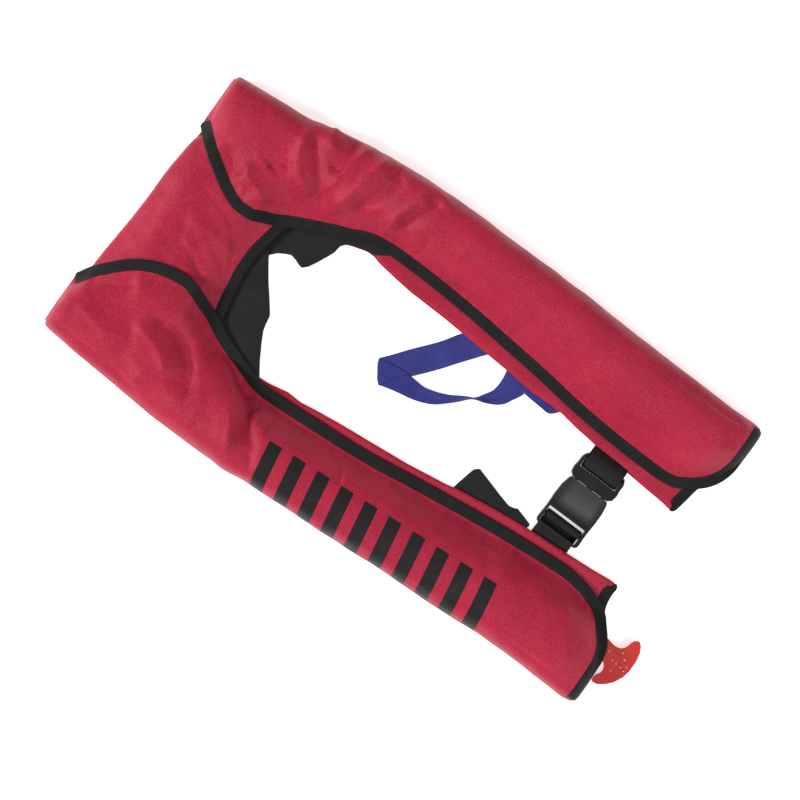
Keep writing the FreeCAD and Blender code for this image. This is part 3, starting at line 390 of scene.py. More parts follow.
def nylon(name, mid, light, dark, pitch=0.0009, rough=0.42, sheen=0.05, tint=(1.0, 0.45, 0.62), printed=False, grain=0.55):
    m, nt, bsdf = nodes_of(name)
    u, v = cloth_axes(nt)
    weave = basket(nt, u, v, pitch)
    wide = noise_of(nt, 22.0, 3.0)
    fine = noise_of(nt, 620.0, 3.0, 0.65)
    base = mix_colour(nt, ramp(nt, wide, 0.35, 0.7), dark, mid)
    base = mix_colour(nt, calc(nt, "MULTIPLY", ramp(nt, fine, 0.40, 0.66), grain), base, light)
    base = mix_colour(nt, calc(nt, "MULTIPLY", ramp(nt, fine, 0.55, 0.34), grain), base, dark)
    base = mix_colour(nt, calc(nt, "MULTIPLY", weave, 0.18), base, light)
    if printed:
        mask = printed(nt)
        worn = calc(nt, "MULTIPLY", mask, ramp(nt, noise_of(nt, 420.0, 4.0, 0.7), 0.20, 0.34), clamp=True)
        base = mix_colour(nt, worn, base, (0.017, 0.015, 0.016))
    nt.links.new(base, bsdf.inputs["Base Color"])
    r = calc(nt, "ADD", calc(nt, "MULTIPLY", noise_of(nt, 60.0, 2.0), 0.14), rough - 0.07)
    nt.links.new(r, bsdf.inputs["Roughness"])
    bsdf.inputs["Specular IOR Level"].default_value = 0.16
    bsdf.inputs["Sheen Weight"].default_value = sheen
    bsdf.inputs["Sheen Roughness"].default_value = 0.4
    bsdf.inputs["Sheen Tint"].default_value = (*tint, 1.0)
    h = calc(nt, "ADD", calc(nt, "MULTIPLY", weave, 0.7), calc(nt, "MULTIPLY", fine, 0.3))
    bump(nt, bsdf, h, 0.6, 0.00022)
    return m


def print_bars(nt):
    """Printed block of slanted bars in the zone of the right lobe, wrapping over its outer fold."""
    tc = nt.nodes.new("ShaderNodeTexCoord")
    sep = nt.nodes.new("ShaderNodeSeparateXYZ")
    nt.links.new(tc.outputs["Object"], sep.inputs[0])
    x, y = sep.outputs[0], sep.outputs[1]
    lean = calc(nt, "ADD", y, calc(nt, "MULTIPLY", x, -0.16))
    # bars every 26 mm, 14 mm wide, along the lobe
    ph = calc(nt, "FRACT", calc(nt, "DIVIDE", calc(nt, "SUBTRACT", lean, 0.007), 0.0262))
    bar = calc(nt, "LESS_THAN", ph, 0.53)
    low = calc(nt, "GREATER_THAN", lean, -0.160)
    high = calc(nt, "LESS_THAN", lean, 0.104)
    inner = calc(nt, "LESS_THAN", calc(nt, "ADD", x, calc(nt, "MULTIPLY", y, 0.045)), (-95.5 + DX) * 0.001)
    return calc(nt, "MULTIPLY", calc(nt, "MULTIPLY", bar, low), calc(nt, "MULTIPLY", high, inner))


def webbing(name, base, light, rib=0.0021, rough=0.62, spec=0.35, sheen=0.15, tint=(1, 1, 1), cross=0.0013):
    """Ribbed strap cloth: ribs along the strap crossed by fine picks."""
    m, nt, bsdf = nodes_of(name)
    u, v = cloth_axes(nt)
    ribs = calc(nt, "ADD", calc(nt, "MULTIPLY", calc(nt, "SINE", calc(nt, "MULTIPLY", v, 2 * math.pi / rib)), 0.5), 0.5)
    picks = calc(nt, "ADD", calc(nt, "MULTIPLY", calc(nt, "SINE", calc(nt, "ADD", calc(nt, "MULTIPLY", u, 2 * math.pi / cross), calc(nt, "MULTIPLY", calc(nt, "FLOOR", calc(nt, "DIVIDE", v, rib / 2)), math.pi))), 0.5), 0.5)
    h = calc(nt, "MULTIPLY", ribs, calc(nt, "ADD", calc(nt, "MULTIPLY", picks, 0.5), 0.5))
    wide = noise_of(nt, 40.0, 3.0)
    col = mix_colour(nt, calc(nt, "MULTIPLY", h, 0.75), base, light)
    col = mix_colour(nt, calc(nt, "MULTIPLY", ramp(nt, wide, 0.4, 0.75), 0.35), col, light)
    nt.links.new(col, bsdf.inputs["Base Color"])
    nt.links.new(calc(nt, "ADD", calc(nt, "MULTIPLY", noise_of(nt, 300.0, 2.0), 0.2), rough - 0.1), bsdf.inputs["Roughness"])
    bsdf.inputs["Specular IOR Level"].default_value = spec
    bsdf.inputs["Sheen Weight"].default_value = sheen
    bsdf.inputs["Sheen Tint"].default_value = (*tint, 1.0)
    bump(nt, bsdf, h, 0.8, 0.00035)
    return m


def plastic(name, base, alt, rough=0.3, coat=0.0, grain=1400.0, strength=0.12, spec=0.5, face=None):
    """Moulded plastic: faint orange-peel, handling marks in the gloss, slight colour drift, and where face is given a
    painted sheen in that colour on the top middle.
    """
    m, nt, bsdf = nodes_of(name)
    col = mix_colour(nt, calc(nt, "MULTIPLY", ramp(nt, noise_of(nt, 55.0, 4.0), 0.35, 0.75), 0.5), base, alt)
    if face:
        # painted sheen: the top middle of the satin moulding is coloured a lighter grey, where it catches the light
        tc = nt.nodes.new("ShaderNodeTexCoord")
        sep = nt.nodes.new("ShaderNodeSeparateXYZ")
        nt.links.new(tc.outputs["Generated"], sep.inputs[0])
        mask = calc(nt, "MULTIPLY", ramp(nt, sep.outputs[0], 0.44, 0.60), ramp(nt, sep.outputs[0], 1.25, 0.62))
        mask = calc(nt, "MULTIPLY", mask, calc(nt, "MULTIPLY", ramp(nt, sep.outputs[1], 0.02, 0.16), ramp(nt, sep.outputs[1], 0.98, 0.72)), clamp=True)
        col = mix_colour(nt, calc(nt, "MULTIPLY", mask, ramp(nt, sep.outputs[2], 0.55, 0.8), clamp=True), col, face)
    nt.links.new(col, bsdf.inputs["Base Color"])
    marks = noise_of(nt, 240.0, 5.0, 0.7)
    nt.links.new(calc(nt, "ADD", calc(nt, "MULTIPLY", marks, 0.22), rough - 0.1), bsdf.inputs["Roughness"])
    bsdf.inputs["Specular IOR Level"].default_value = spec
    if coat:
        bsdf.inputs["Coat Weight"].default_value = coat
        bsdf.inputs["Coat Roughness"].default_value = 0.12
    bump(nt, bsdf, noise_of(nt, grain, 2.0), strength, 0.0001)
    return m


def metal(name, base, alt, rough=0.3, brushed=0.0):
    m, nt, bsdf = nodes_of(name)
    col = mix_colour(nt, ramp(nt, noise_of(nt, 120.0, 5.0, 0.65), 0.3, 0.75), base, alt)
    nt.links.new(col, bsdf.inputs["Base Color"])
    bsdf.inputs["Metallic"].default_value = 1.0
    nt.links.new(calc(nt, "ADD", calc(nt, "MULTIPLY", noise_of(nt, 420.0, 4.0, 0.7), 0.25), rough - 0.1), bsdf.inputs["Roughness"])
    bump(nt, bsdf, noise_of(nt, 1800.0, 3.0), 0.15 + brushed, 0.00006)
    return m


RED = (0.43, 0.017, 0.045)
MAT = {
    "red": nylon("red_nylon", RED, (0.56, 0.036, 0.088), (0.32, 0.010, 0.029)),
    "red_print": nylon("red_nylon_printed", RED, (0.56, 0.036, 0.088), (0.32, 0.010, 0.029), printed=print_bars),
    "tape": webbing("binding_tape", (0.0060, 0.0063, 0.0060), (0.020, 0.021, 0.020), rib=0.0012, rough=0.75, sheen=0.05, spec=0.2, tint=(0.8, 0.85, 0.8)),
    "thread": webbing("thread", (0.008, 0.009, 0.008), (0.024, 0.026, 0.024), rib=0.0003, rough=0.5),
    "red_thread": webbing("red_thread", (0.20, 0.010, 0.025), (0.42, 0.03, 0.06), rib=0.0003, rough=0.5),
    "blue_thread": webbing("blue_thread", (0.02, 0.02, 0.13), (0.06, 0.08, 0.40), rib=0.0003, rough=0.5),
    "web": webbing("black_webbing", (0.0030, 0.0032, 0.0032), (0.019, 0.020, 0.021), rib=0.0023, rough=0.6, sheen=0.04, spec=0.25),
    "blue": webbing("blue_webbing", (0.013, 0.013, 0.12), (0.052, 0.066, 0.37), rib=0.0016, rough=0.5, sheen=0.12, spec=0.3, tint=(0.5, 0.65, 1.0), cross=0.0021),
    "bladder": nylon("bladder_cloth", (0.80, 0.40, 0.022), (0.92, 0.56, 0.08), (0.62, 0.27, 0.012), pitch=0.0007, rough=0.36, sheen=0.1, tint=(1, 0.8, 0.4)),
    "hook": webbing("hook_strip", (0.010, 0.010, 0.010), (0.05, 0.05, 0.05), rib=0.0016, rough=0.5),
    "loop": nylon("loop_strip", (0.020, 0.020, 0.020), (0.08, 0.08, 0.08), (0.010, 0.010, 0.010), pitch=0.0014, rough=0.9, sheen=0.8, tint=(0.6, 0.6, 0.6)),
    "reflect": nylon("reflective", (0.62, 0.64, 0.66), (0.85, 0.87, 0.9), (0.5, 0.52, 0.55), pitch=0.0011, rough=0.32, sheen=0.0, tint=(1, 1, 1)),
    "black": plastic("black_plastic", (0.007, 0.007, 0.008), (0.018, 0.018, 0.020), rough=0.46, spec=0.25),
    # face is a painted sheen: a lighter grey on the socket's top middle
    "buckle": plastic("buckle_plastic_painted_sheen", (0.008, 0.008, 0.009), (0.018, 0.018, 0.020), rough=0.42, spec=0.28, face=(0.066, 0.068, 0.072)),
    "satin": plastic("satin_plastic", (0.055, 0.055, 0.060), (0.085, 0.085, 0.092), rough=0.42),
    "housing": plastic("inflator_plastic", (0.016, 0.016, 0.018), (0.04, 0.04, 0.045), rough=0.4),
    "rubber": plastic("rubber", (0.014, 0.014, 0.014), (0.03, 0.03, 0.03), rough=0.75, spec=0.25, strength=0.3),
    "steel": metal("gas_cylinder_steel", (0.52, 0.53, 0.54), (0.70, 0.70, 0.70), rough=0.34),
    "bright": metal("plated_steel", (0.60, 0.60, 0.62), (0.78, 0.78, 0.80), rough=0.24),
    "brass": metal("brass", (0.62, 0.42, 0.15), (0.74, 0.54, 0.24), rough=0.28),
    "green": plastic("status_green", (0.03, 0.40, 0.10), (0.05, 0.50, 0.16), rough=0.35),
    "handle": plastic("handle_red", (0.58, 0.022, 0.018), (0.68, 0.045, 0.034), rough=0.26, coat=0.45, strength=0.2),
    # pale pink dots, lighter than the handle's red
    "dots": plastic("handle_pale_dots", (0.86, 0.42, 0.40), (0.90, 0.58, 0.55), rough=0.3, coat=0.4),
    "cordred": webbing("lanyard", (0.34, 0.02, 0.02), (0.62, 0.07, 0.06), rib=0.0008, rough=0.6),
    "grey": plastic("grey_plastic", (0.17, 0.17, 0.18), (0.25, 0.25, 0.26), rough=0.45),
    "valve": plastic("valve_plastic", (0.045, 0.045, 0.05), (0.08, 0.08, 0.085), rough=0.38),
    "cap": plastic("cap_plastic", (0.75, 0.25, 0.025), (0.85, 0.36, 0.06), rough=0.36),
    "whistle": plastic("whistle_plastic", (0.85, 0.30, 0.02), (0.92, 0.42, 0.06), rough=0.3, coat=0.3),
}

# ------------------------------------------------------------------ cutting pattern, as in the frame
XO = {
    1: table([(-296, 169), (-287, 171), (-250, 172), (-200, 174), (-150, 176), (-120, 178), (-80, 180), (-50, 181), (0, 182), (40, 184), (95, 184), (110, 183), (130, 181), (160, 178), (180, 175), (200, 171), (220, 167), (240, 166), (270, 164), (298, 162)]),
    -1: table([(-296, 138), (-290, 140), (-283, 141), (-250, 139), (-220, 138), (-190, 137), (-150, 139), (-100, 140), (-50, 141), (0, 143), (50, 144), (75, 145), (100, 148), (115, 147), (150, 146), (180, 145), (210, 143), (240, 140), (265, 138), (300, 134), (315, 132)]),
}
XI = {
    1: table([(-295, 140), (-294, 124), (-290, 110), (-284, 100), (-276, 92), (-266, 85), (-256, 79.5), (-240, 77.5), (-200, 79), (-150, 83), (-100, 90), (-50, 96), (0, 101.5), (50, 105), (84, 106), (103, 104), (108, 103), (124, 96), (140, 90), (152, 85), (180, 72), (190, 66), (198, 63), (212, 57), (225, 57), (240, 62), (262, 75), (283, 90), (298, 103)]),
    -1: table([(-295.5, 105), (-294, 92), (-291, 80), (-286, 72), (-278, 62), (-272, 55), (-265, 50), (-257, 46), (-240, 41), (-220, 38.5), (-200, 39), (-150, 42), (-100, 46.5), (-50, 52), (0, 57.5), (50, 60), (100, 61.5), (118, 60), (130, 56), (150, 49), (170, 41), (188, 31), (200, 26.5), (213, 21), (225, 18.5), (240, 20), (258, 24.5), (275, 33), (285, 41), (300, 56), (307, 63), (314, 74)]),
}
ZE = {
    1: table([(-295, 11.4), (-270, 10.2), (-245, 8.6), (80, 8.6), (105, 9.6), (150, 10.6), (186, 13.0), (205, 24.0), (215, 29.2), (270, 29.2), (284, 27.0), (291, 21.0), (298, 13.5)]),
    -1: table([(-295, 11.4), (-270, 10.2), (-245, 8.6), (85, 8.6), (108, 9.6), (150, 10.6), (188, 13.0), (205, 24.0), (216, 29.2), (285, 29.2), (299, 26.0), (307, 18.0), (314, 12.5)]),
}
Y_END = {1: (-294.5, 297.5), -1: (-294.5, 314.0)}
H = 42.0
CROWN = table([(-300, H), (100, H), (150, H - 1.5), (200, H - 4), (330, H - 6)])
FRACS = [0.0, 0.07, 0.16, 0.28, 0.42, 0.58, 0.74, 0.86, 0.94, 0.985, 1.0, 0.99, 0.965]
RISE = [0.06, 0.22, 0.47, 0.74, 0.91, 0.99, 0.99, 0.90, 0.72, 0.50, 0.28, 0.12, 0.0]
NY_IN = table([(-98, 166), (-88, 168), (-62, 172), (-38, 178), (-20, 182), (0, 185), (15, 186.8), (28, 187), (40, 186), (50, 184), (60, 182), (80, 176), (118, 164), (128, 160)])
NY_OUT = table([(-98, 286), (-88, 292), (-75, 302), (-62, 307), (0, 303), (50, 301), (90, 297.5), (100, 291), (118, 276), (128, 268)])


def crown(side, y):
    lo, hi = Y_END[side]
    top, edge = CROWN(y), ZE[side](y)
    for dist, length in ((y - lo, 42.0), (hi - y, 20.0)):
        if dist < length:
            u = 1 - max(dist, 0.0) / length
            g = math.sqrt(max(0.0, 1 - u * u))
            low = max(edge + 1.5, 13.0)
            top = min(top, low + (CROWN(y) - low) * g) if low < CROWN(y) else top
    return max(top, edge + 1.5)


def profile(xi, xo, ze, zt, zb, flat):
    flat = min(flat, 0.35 * (xo - xi))
    pts = [(xi, ze), (xi + 0.5 * flat, ze + 0.01 * (zt - ze))]
    x1 = xi + flat
    for i, (f, r) in enumerate(zip(FRACS, RISE)):
        base = ze if i < 6 else zb
        pts.append((x1 + f * (xo - x1), base + r * (zt - base)))
    return pts


# ------------------------------------------------------------------ folds in the cloth
def folds_right(X, Y):
    d = line_field(X, Y, [(-80, 246), (-87, 216), (-98, 198), (-113, 190)], 11, 1.9, 9)
    d += line_field(X, Y, [(-68, 240), (-63, 210), (-71, 187), (-85, 174), (-102, 166), (-120, 162)], 6, -3.6, 15)
    d += line_field(X, Y, [(-57, 164), (-71, 149), (-86, 132), (-111, 114), (-140, 97)], 6, 3.0, 13)
    d += line_field(X, Y, [(-53, 157), (-64, 138), (-76, 119), (-96, 104), (-112, 88), (-140, 74)], 6, -3.2, 10)
    d += line_field(X, Y, [(-84, 107), (-94, 96), (-95, 84)], 5, 1.3, 6)
    d += blob(X, Y, -117, 208, 12, 11, 1.8)
    d += blob(X, Y, -52, 257, 11, 9, 1.6)
    d += line_field(X, Y, [(-80, 303), (-68, 285), (-48, 256)], 8, -1.5, 10)
    d += line_field(X, Y, [(-99, 1), (-79, 9)], 3.2, -1.1)
    d += line_field(X, Y, [(-126, -198), (-129, -288)], 7.5, -1.7, 6)
    d += line_field(X, Y, [(-124, 312), (-128, 236), (-134, 204)], 7, -1.7, 6)
    d += line_field(X, Y, [(-96, 300), (-104, 262), (-98, 232)], 9, 1.3)
    d += line_field(X, Y, [(-66, -60), (-100, -44), (-138, -50)], 11, 0.9)
    d += line_field(X, Y, [(-60, -150), (-96, -160), (-134, -146)], 12, -0.9)
    d += line_field(X, Y, [(-52, -232), (-88, -246), (-118, -270)], 8, 1.3, 11)
    d = 1.3 * d + fan(X, Y, -44, 158, 2.6, 0.5, 118.0, 2.4)
    return np.clip(d, -4.9, 5.5)


def folds_left(X, Y):
    d = line_field(X, Y, [(163, 207), (145, 194), (127, 179), (108, 165), (98, 157)], 7, -3.0, 13)
    d += line_field(X, Y, [(159, 213), (140, 209), (123, 202), (112, 188), (104, 171)], 13, 2.3, 6)
    d += line_field(X, Y, [(180, 134), (159, 139.4), (139, 144), (119, 150), (103, 155)], 11, 3.0, 6)
    d += line_field(X, Y, [(181, 124), (163, 115.5), (148, 117.5), (131, 126), (116, 140)], 5, -3.4, 11)
    d += line_field(X, Y, [(176, 84), (158, 92), (139, 99), (119, 105)], 9, 2.6, 5)
    d += line_field(X, Y, [(178, 73), (158, 76), (140, 84), (126, 93)], 5, -2.9, 9)
    d += line_field(X, Y, [(104, 240), (89, 234), (84, 217), (73, 205)], 6, 2.1, 9)
    d += line_field(X, Y, [(102, 268), (89, 251), (87, 236)], 7, -2.0, 8)
    d += line_field(X, Y, [(177, 166), (160, 166.6), (146, 169), (134, 174)], 5, -2.3, 8)
    d += line_field(X, Y, [(174, 192), (158, 188), (154, 179)], 6, 1.9, 8)
    d += line_field(X, Y, [(104, 223), (115, 219), (122, 203)], 5, -1.9, 8)
    d += line_field(X, Y, [(184, 150), (158, 160), (136, 163), (112, 168)], 4, 1.5, 6)
    d += line_field(X, Y, [(116, 63), (142, 62)], 3.4, -1.1)
    d += blob(X, Y, 115, -120, 11, 9, -1.7)
    d += line_field(X, Y, [(106, -175), (108, -214)], 6, -1.1)
    d += line_field(X, Y, [(162, -170), (163, -284)], 7, -1.7, 6)
    d += line_field(X, Y, [(112, 20), (138, 30), (170, 22)], 11, 0.9)
    d += line_field(X, Y, [(104, -48), (132, -60), (172, -52)], 12, -0.9)
    d += line_field(X, Y, [(98, -232), (126, -252), (140, -280)], 9, 1.3)
    d = 1.45 * d + fan(X, Y, 78, 150, 8.3, 0.5, 122.0, 2.8)
    floor_z = -4.9 + 1.8 * np.exp(-(((X - 148) / 17) ** 2)) * smooth01((Y - 80) / 12) * (1 - smooth01((Y - 182) / 12))
    return np.clip(d, floor_z, 5.5)


def folds_neck(X, Y):
    d = line_field(X, Y, [(-18, 212), (-6, 226), (4, 240)], 4, -1.8, 6)
    d += blob(X, Y, -10, 277, 16, 9, 1.2)
    d += line_field(X, Y, [(-30, 262), (0, 252), (34, 262)], 9, -1.3)
    d += line_field(X, Y, [(20, 205), (28, 232), (24, 262)], 7, 1.2)
    d += line_field(X, Y, [(-24, 290), (10, 288), (52, 292)], 6, -1.0)
    d += line_field(X, Y, [(40, 214), (52, 240), (60, 270)], 6, -1.2)
    d += fan(Y, X, 186, -20, 5.1, 1.0, 110.0, 3.4)
    return d


def lobe_grid(side):
    """Outer face of a lobe's cloth, from the flap's free edge over the crown and down the outer wall."""
    lo, hi = Y_END[side]
    step = 2.0
    ys = list(np.arange(lo + 46, hi - 24, step))
    ys = list(lo + 46 * (np.linspace(0, 1, int(46 / step * 1.6)) ** 1.25))[:-1] + ys + list(hi - 24 * (np.linspace(1, 0, int(24 / step * 2.2)) ** 1.2))
    nu = 80
    rows = []
    for y in ys:
        xo = XO[side](y)
        for rem, rad in ((hi - y, 4.5), (y - lo, 4.0)):
            if rem < rad:
                xo -= rad * (1 - math.sqrt(max(0.0, 1 - ((rad - rem) / rad) ** 2)))
        pts = profile(XI[side](y), xo, ZE[side](y), crown(side, y), 4.8, 12.0)
        line = resample(catmull(pts, 10), n=nu)
        rows.append([(side * a, y, b) for a, b in line])
    # the upper end is folded down to the back panel
    last = np.array(rows[-1])
    for k, (dy, f) in enumerate(((1.0, 0.93), (1.6, 0.72), (1.5, 0.42), (1.0, 0.12), (0.5, 0.0))):
        r = last.copy()
        r[:, 1] += dy
        r[:, 2] = 4.9 + (r[:, 2] - 4.9) * f
        rows.append([tuple(p) for p in r])
    return np.array(rows, float), len(ys)


def ease_edges(G, side, n_rows):
    """Share of the folds' height at each grid point: none at the free edge, the bottom of the wall and the ends."""
    uv = arc_uv(G)
    u = uv[..., 0]
    total = u[:, -1:]
    e = smooth01(u / 16.0) * smooth01((total - u) / 22.0)
    y = G[..., 1]
    lo, hi = Y_END[side]
    e = e * smooth01((y - lo) / 12.0 + 0.15) * smooth01((hi - y) / 10.0 + 0.1)
    return e


COVER = {}
for side, name, folds in ((-1, "right", folds_right), (1, "left", folds_left)):
    G, n_rows = lobe_grid(side)
    N = grid_normals(G)
    if (N[n_rows // 2, 30, 2]) < 0:
        N = -N
    X, Y, Z = G[..., 0], G[..., 1], G[..., 2]
    uv = arc_uv(G)
    d = folds(X, Y)
    d = d + 1.25 * fbm(X, Y, Z, 46.0, 2, seed=3.1 * side) + 0.5 * fbm(X * 1.0, Y * 0.8, Z, 15.0, 2, seed=7.7 * side)
    # puckers along the stitched edge
    s = uv[..., 1]
    pk = np.sin(2 * math.pi * s / 11.5 + 2.2 * np.sin(s / 31.0)) * 0.32
    edge = np.exp(-(((uv[..., 0] - 13.0) / 9.0) ** 2))
    D = d * ease_edges(G, side, n_rows) + pk * edge
    # slow waves in the free edge itself
    wave = 0.7 * fbm(np.zeros_like(Y[:, 0]) + 5.0, Y[:, 0], 0.0, 38.0, 1, seed=1.3 * side)
    fade = np.exp(-((uv[..., 0] / 26.0) ** 2)) * smooth01((Y - Y_END[side][0]) / 30) * smooth01((Y_END[side][1] - Y) / 20)
    G = G + N * D[..., None]
    G[..., 2] += np.maximum(wave, -0.35)[:, None] * fade
    G[..., 2] = np.maximum(G[..., 2], 4.7)
    N = grid_normals(G)
    if (N[n_rows // 2, 30, 2]) < 0:
        N = -N
    COVER[side] = (G, N, n_rows)
    ob = closed_sheet(name + "_cover_cloth", G, N, 0.9, MAT["red_print"] if side < 0 else MAT["red"], uv)
    print("cloth", name, "mean width", round(float(uv[:n_rows, -1, 0].mean()), 1), "length", round(float(uv[-1, 0, 1]), 1))


def blend_cover(ob):
    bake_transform(ob)
    return ob


# ------------------------------------------------------------------ edge tape
def edge_frame(edge, flip=False):
    """Inward directions along an edge polyline."""
    t = np.gradient(edge, axis=0)
    t /= np.maximum(np.linalg.norm(t, axis=1, keepdims=True), 1e-9)
    m = np.stack([-t[:, 1], t[:, 0]], axis=1)
    return -m if flip else m


def tape_on(name, edge, inward, width, surf, mat, thick=0.9, rise=0.5):
    """Folded tape over a cloth edge; surf(x, y) gives the cloth's point and normal."""
    rings, uvs = [], []
    s = 0.0
    for i, (e, m) in enumerate(zip(edge, inward)):
        if i:
            s += float(np.linalg.norm(e - edge[i - 1]))
        top, bot = [], []
        for f in (1.0, 0.97, 0.9, 0.84, 0.78, 0.6, 0.4, 0.2, 0.06):
            q = e + m * width * f
            c, n = surf(q[0], q[1])
            lift = {1.0: 0.10, 0.97: rise * 0.9, 0.84: rise * 0.62}.get(f, rise)
            lift += 0.12 * math.sin(math.pi * f) if f < 0.8 else 0.0
            top.append(c + n * lift)
            bot.append(c - n * (thick + lift))
        c, n = surf(e[0] + m[0] * 0.2, e[1] + m[1] * 0.2)
        o = np.array([-m[0], -m[1], 0.0])
        edge_pts = [c + o * 0.55 + n * rise * 0.75, c + o * 0.85 - n * thick * 0.5, c + o * 0.55 - n * (thick + rise * 0.75)]
        ring = top + edge_pts + bot[::-1]
        rings.append(ring)
        w = [width * f for f in (1.0, 0.97, 0.9, 0.84, 0.78, 0.6, 0.4, 0.2, 0.06)]
        uvs.append([(a, s) for a in w] + [(-0.5, s), (-1.0, s), (-1.5, s)] + [(-2 - a, s) for a in w[::-1]])
    return ring_mesh(name, rings, mat, uv=uvs)


def stitches(name, pts, nrm, mat, length=2.6, gap=1.3, r=0.3):
    """A row of thread stitches along a line of points on a surface."""
    pts = np.array(pts, float)
    nrm = np.array(nrm, float)
    seg = np.linalg.norm(np.diff(pts, axis=0), axis=1)
    acc = np.concatenate([[0], np.cumsum(seg)])
    n = int(acc[-1] // (length + gap))
    verts, faces = [], []
    prof = ((-0.5, 0.15, -0.25), (-0.36, 0.75, 0.05), (0.0, 1.0, 0.22), (0.36, 0.75, 0.05), (0.5, 0.15, -0.25))
    for k in range(n):
        c = (k + 0.5) * (length + gap)
        base = len(verts)
        a = np.array([np.interp(c, acc, pts[:, q]) for q in range(3)])
        b = np.array([np.interp(min(c + 1.0, acc[-1]), acc, pts[:, q]) for q in range(3)])
        t = b - a
        if np.linalg.norm(t) < 1e-6:
            continue
        t /= np.linalg.norm(t)
        up = np.array([np.interp(c, acc, nrm[:, q]) for q in range(3)])
        up -= t * (up @ t)
        up /= max(np.linalg.norm(up), 1e-6)
        sd = np.cross(t, up)
        for f, w, h in prof:
            for q in range(5):
                an = 2 * math.pi * q / 5
                verts.append(a + t * f * length + up * (h * r * 1.4 + math.sin(an) * r * w) + sd * math.cos(an) * r * w * 1.15)
        for i in range(4):
            for q in range(5):
                u0, u1 = base + i * 5 + q, base + i * 5 + (q + 1) % 5
                faces.append((u0, u1, u1 + 5, u0 + 5))
        faces.append(tuple(base + q for q in range(4, -1, -1)))
        faces.append(tuple(base + 20 + q for q in range(5)))
    ob = make_mesh(name, verts, faces, mat)
    fix_normals(ob)
    return ob


def join(name, obs):
    """One mesh object out of several."""
    verts, faces, uvs, off = [], [], [], 0
    for o in obs:
        me = o.data
        co = np.zeros(len(me.vertices) * 3, np.float32)
        me.vertices.foreach_get("co", co)
        uvd = np.zeros(len(me.vertices) * 3, np.float32)
        me.attributes["cloth_uv"].data.foreach_get("vector", uvd)
        verts.append(co.reshape(-1, 3))
        uvs.append(uvd.reshape(-1, 3))
        faces += [tuple(v + off for v in p.vertices) for p in me.polygons]
        off += len(me.vertices)
    V = np.concatenate(verts) * 1000.0
    V[:, 0] -= DX
    V[:, 1] -= DY
    mat = obs[0].data.materials[0]
    for o in obs:
        bpy.data.objects.remove(o)
    return make_mesh(name, V, faces, mat, uv=np.concatenate(uvs) * 1000.0)


def flap_edge(side):
    """Free edge of a flap: across the lower end, then up its inner side."""
    lo, hi = Y_END[side]
    ys = np.concatenate([lo + 46 * (np.linspace(0, 1, 60) ** 1.6), np.arange(lo + 48, hi, 2.0), [hi]])
    pts = [(side * XI[side](y), y) for y in ys] + [(side * (XI[side](hi) + 0.9 * k), hi + 1.0 * k) for k in (1, 2, 3)]
    x_end = XO[side](lo) - 1.6
    start = [(side * x, lo) for x in np.arange(x_end, abs(pts[0][0]) + 1.0, -2.0)]
    line = np.array(start + pts)
    for _ in range(3):
        line[1:-1] = 0.25 * line[:-2] + 0.5 * line[1:-1] + 0.25 * line[2:]
    return resample(line, step=2.6)


TREES = {}
for side, name in ((-1, "right"), (1, "left")):
    G, N, n_rows = COVER[side]
    tree = bvh_of(G)
    TREES[side] = tree
    edge = flap_edge(side)
    inward = edge_frame(edge, flip=(side > 0))
    mid = edge[len(edge) // 2] + inward[len(edge) // 2] * 10
    if side * mid[0] < side * edge[len(edge) // 2][0]:
        inward = -inward

    def surf(x, y, tree=tree, side=side):
        lo, hi = Y_END[side]
        y = min(max(y, lo + 0.05), hi + 3.4)
        return drop(tree, x, y, ZE[side](min(y, hi)))

    tape = tape_on(name + "_flap_tape", edge, inward, 10.4, surf, MAT["tape"])
    st = []
    for off in (8.7,):
        pts, nrm = [], []
        for e, m in zip(edge[2:-1], inward[2:-1]):
            c, n = surf(*(e + m * off))
            pts.append(c + n * 0.28)
            nrm.append(n)
        st.append(stitches(name + "_flap_stitch", pts, nrm, MAT["thread"]))
    cloth = bpy.data.objects[name + "_cover_cloth"]
    blend_cover(cloth)
    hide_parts(name + "_flap")
    blend_cover(tape)
    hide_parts(name + "_flap_binding")
    for o in st:
        blend_cover(o)
# ------------------------------------------------------------------ neck cover
xs = np.arange(-88, 118.1, 2.2)
rows = []
for x in xs:
    zt = 27.0 - (1.5 if x < -62 or x > 95 else 0.0)
    pts = profile(NY_IN(x), NY_OUT(x), 10.4, zt, 4.8, 10.0)
    rows.append([(x, a, b) for a, b in resample(catmull(pts, 10), n=56)])
G = np.array(rows, float)
N = grid_normals(G)
if N[len(xs) // 2, 28, 2] < 0:
    N = -N
uv = arc_uv(G)
u, tot = uv[..., 0], uv[:, -1:, 0]
d = folds_neck(G[..., 0], G[..., 1]) + 1.0 * fbm(G[..., 0], G[..., 1], G[..., 2], 40.0, 2, seed=11.0) + 0.4 * fbm(G[..., 0], G[..., 1], G[..., 2], 13.0, 2, seed=5.0)
pk = 0.3 * np.sin(2 * math.pi * uv[..., 1] / 10.0 + 1.5 * np.sin(uv[..., 1] / 23.0)) * np.exp(-(((u - 12.0) / 8.0) ** 2))
G = G + N * (d * smooth01(u / 14.0) * smooth01((tot - u) / 16.0) + pk)[..., None]
N = grid_normals(G)
if N[len(xs) // 2, 28, 2] < 0:
    N = -N
neck = closed_sheet("neck_cover_cloth", G, N, 0.9, MAT["red"], uv)
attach(neck, "jacket")
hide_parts("neck_cover")
NECK_TREE = bvh_of(G)
edge = resample([(x, NY_IN(x)) for x in np.arange(-87, 117, 1.0)], step=2.4)
inward = edge_frame(edge)


def neck_surf(x, y):
    return drop(NECK_TREE, min(max(x, -87.8), 117.8), y, 10.4)


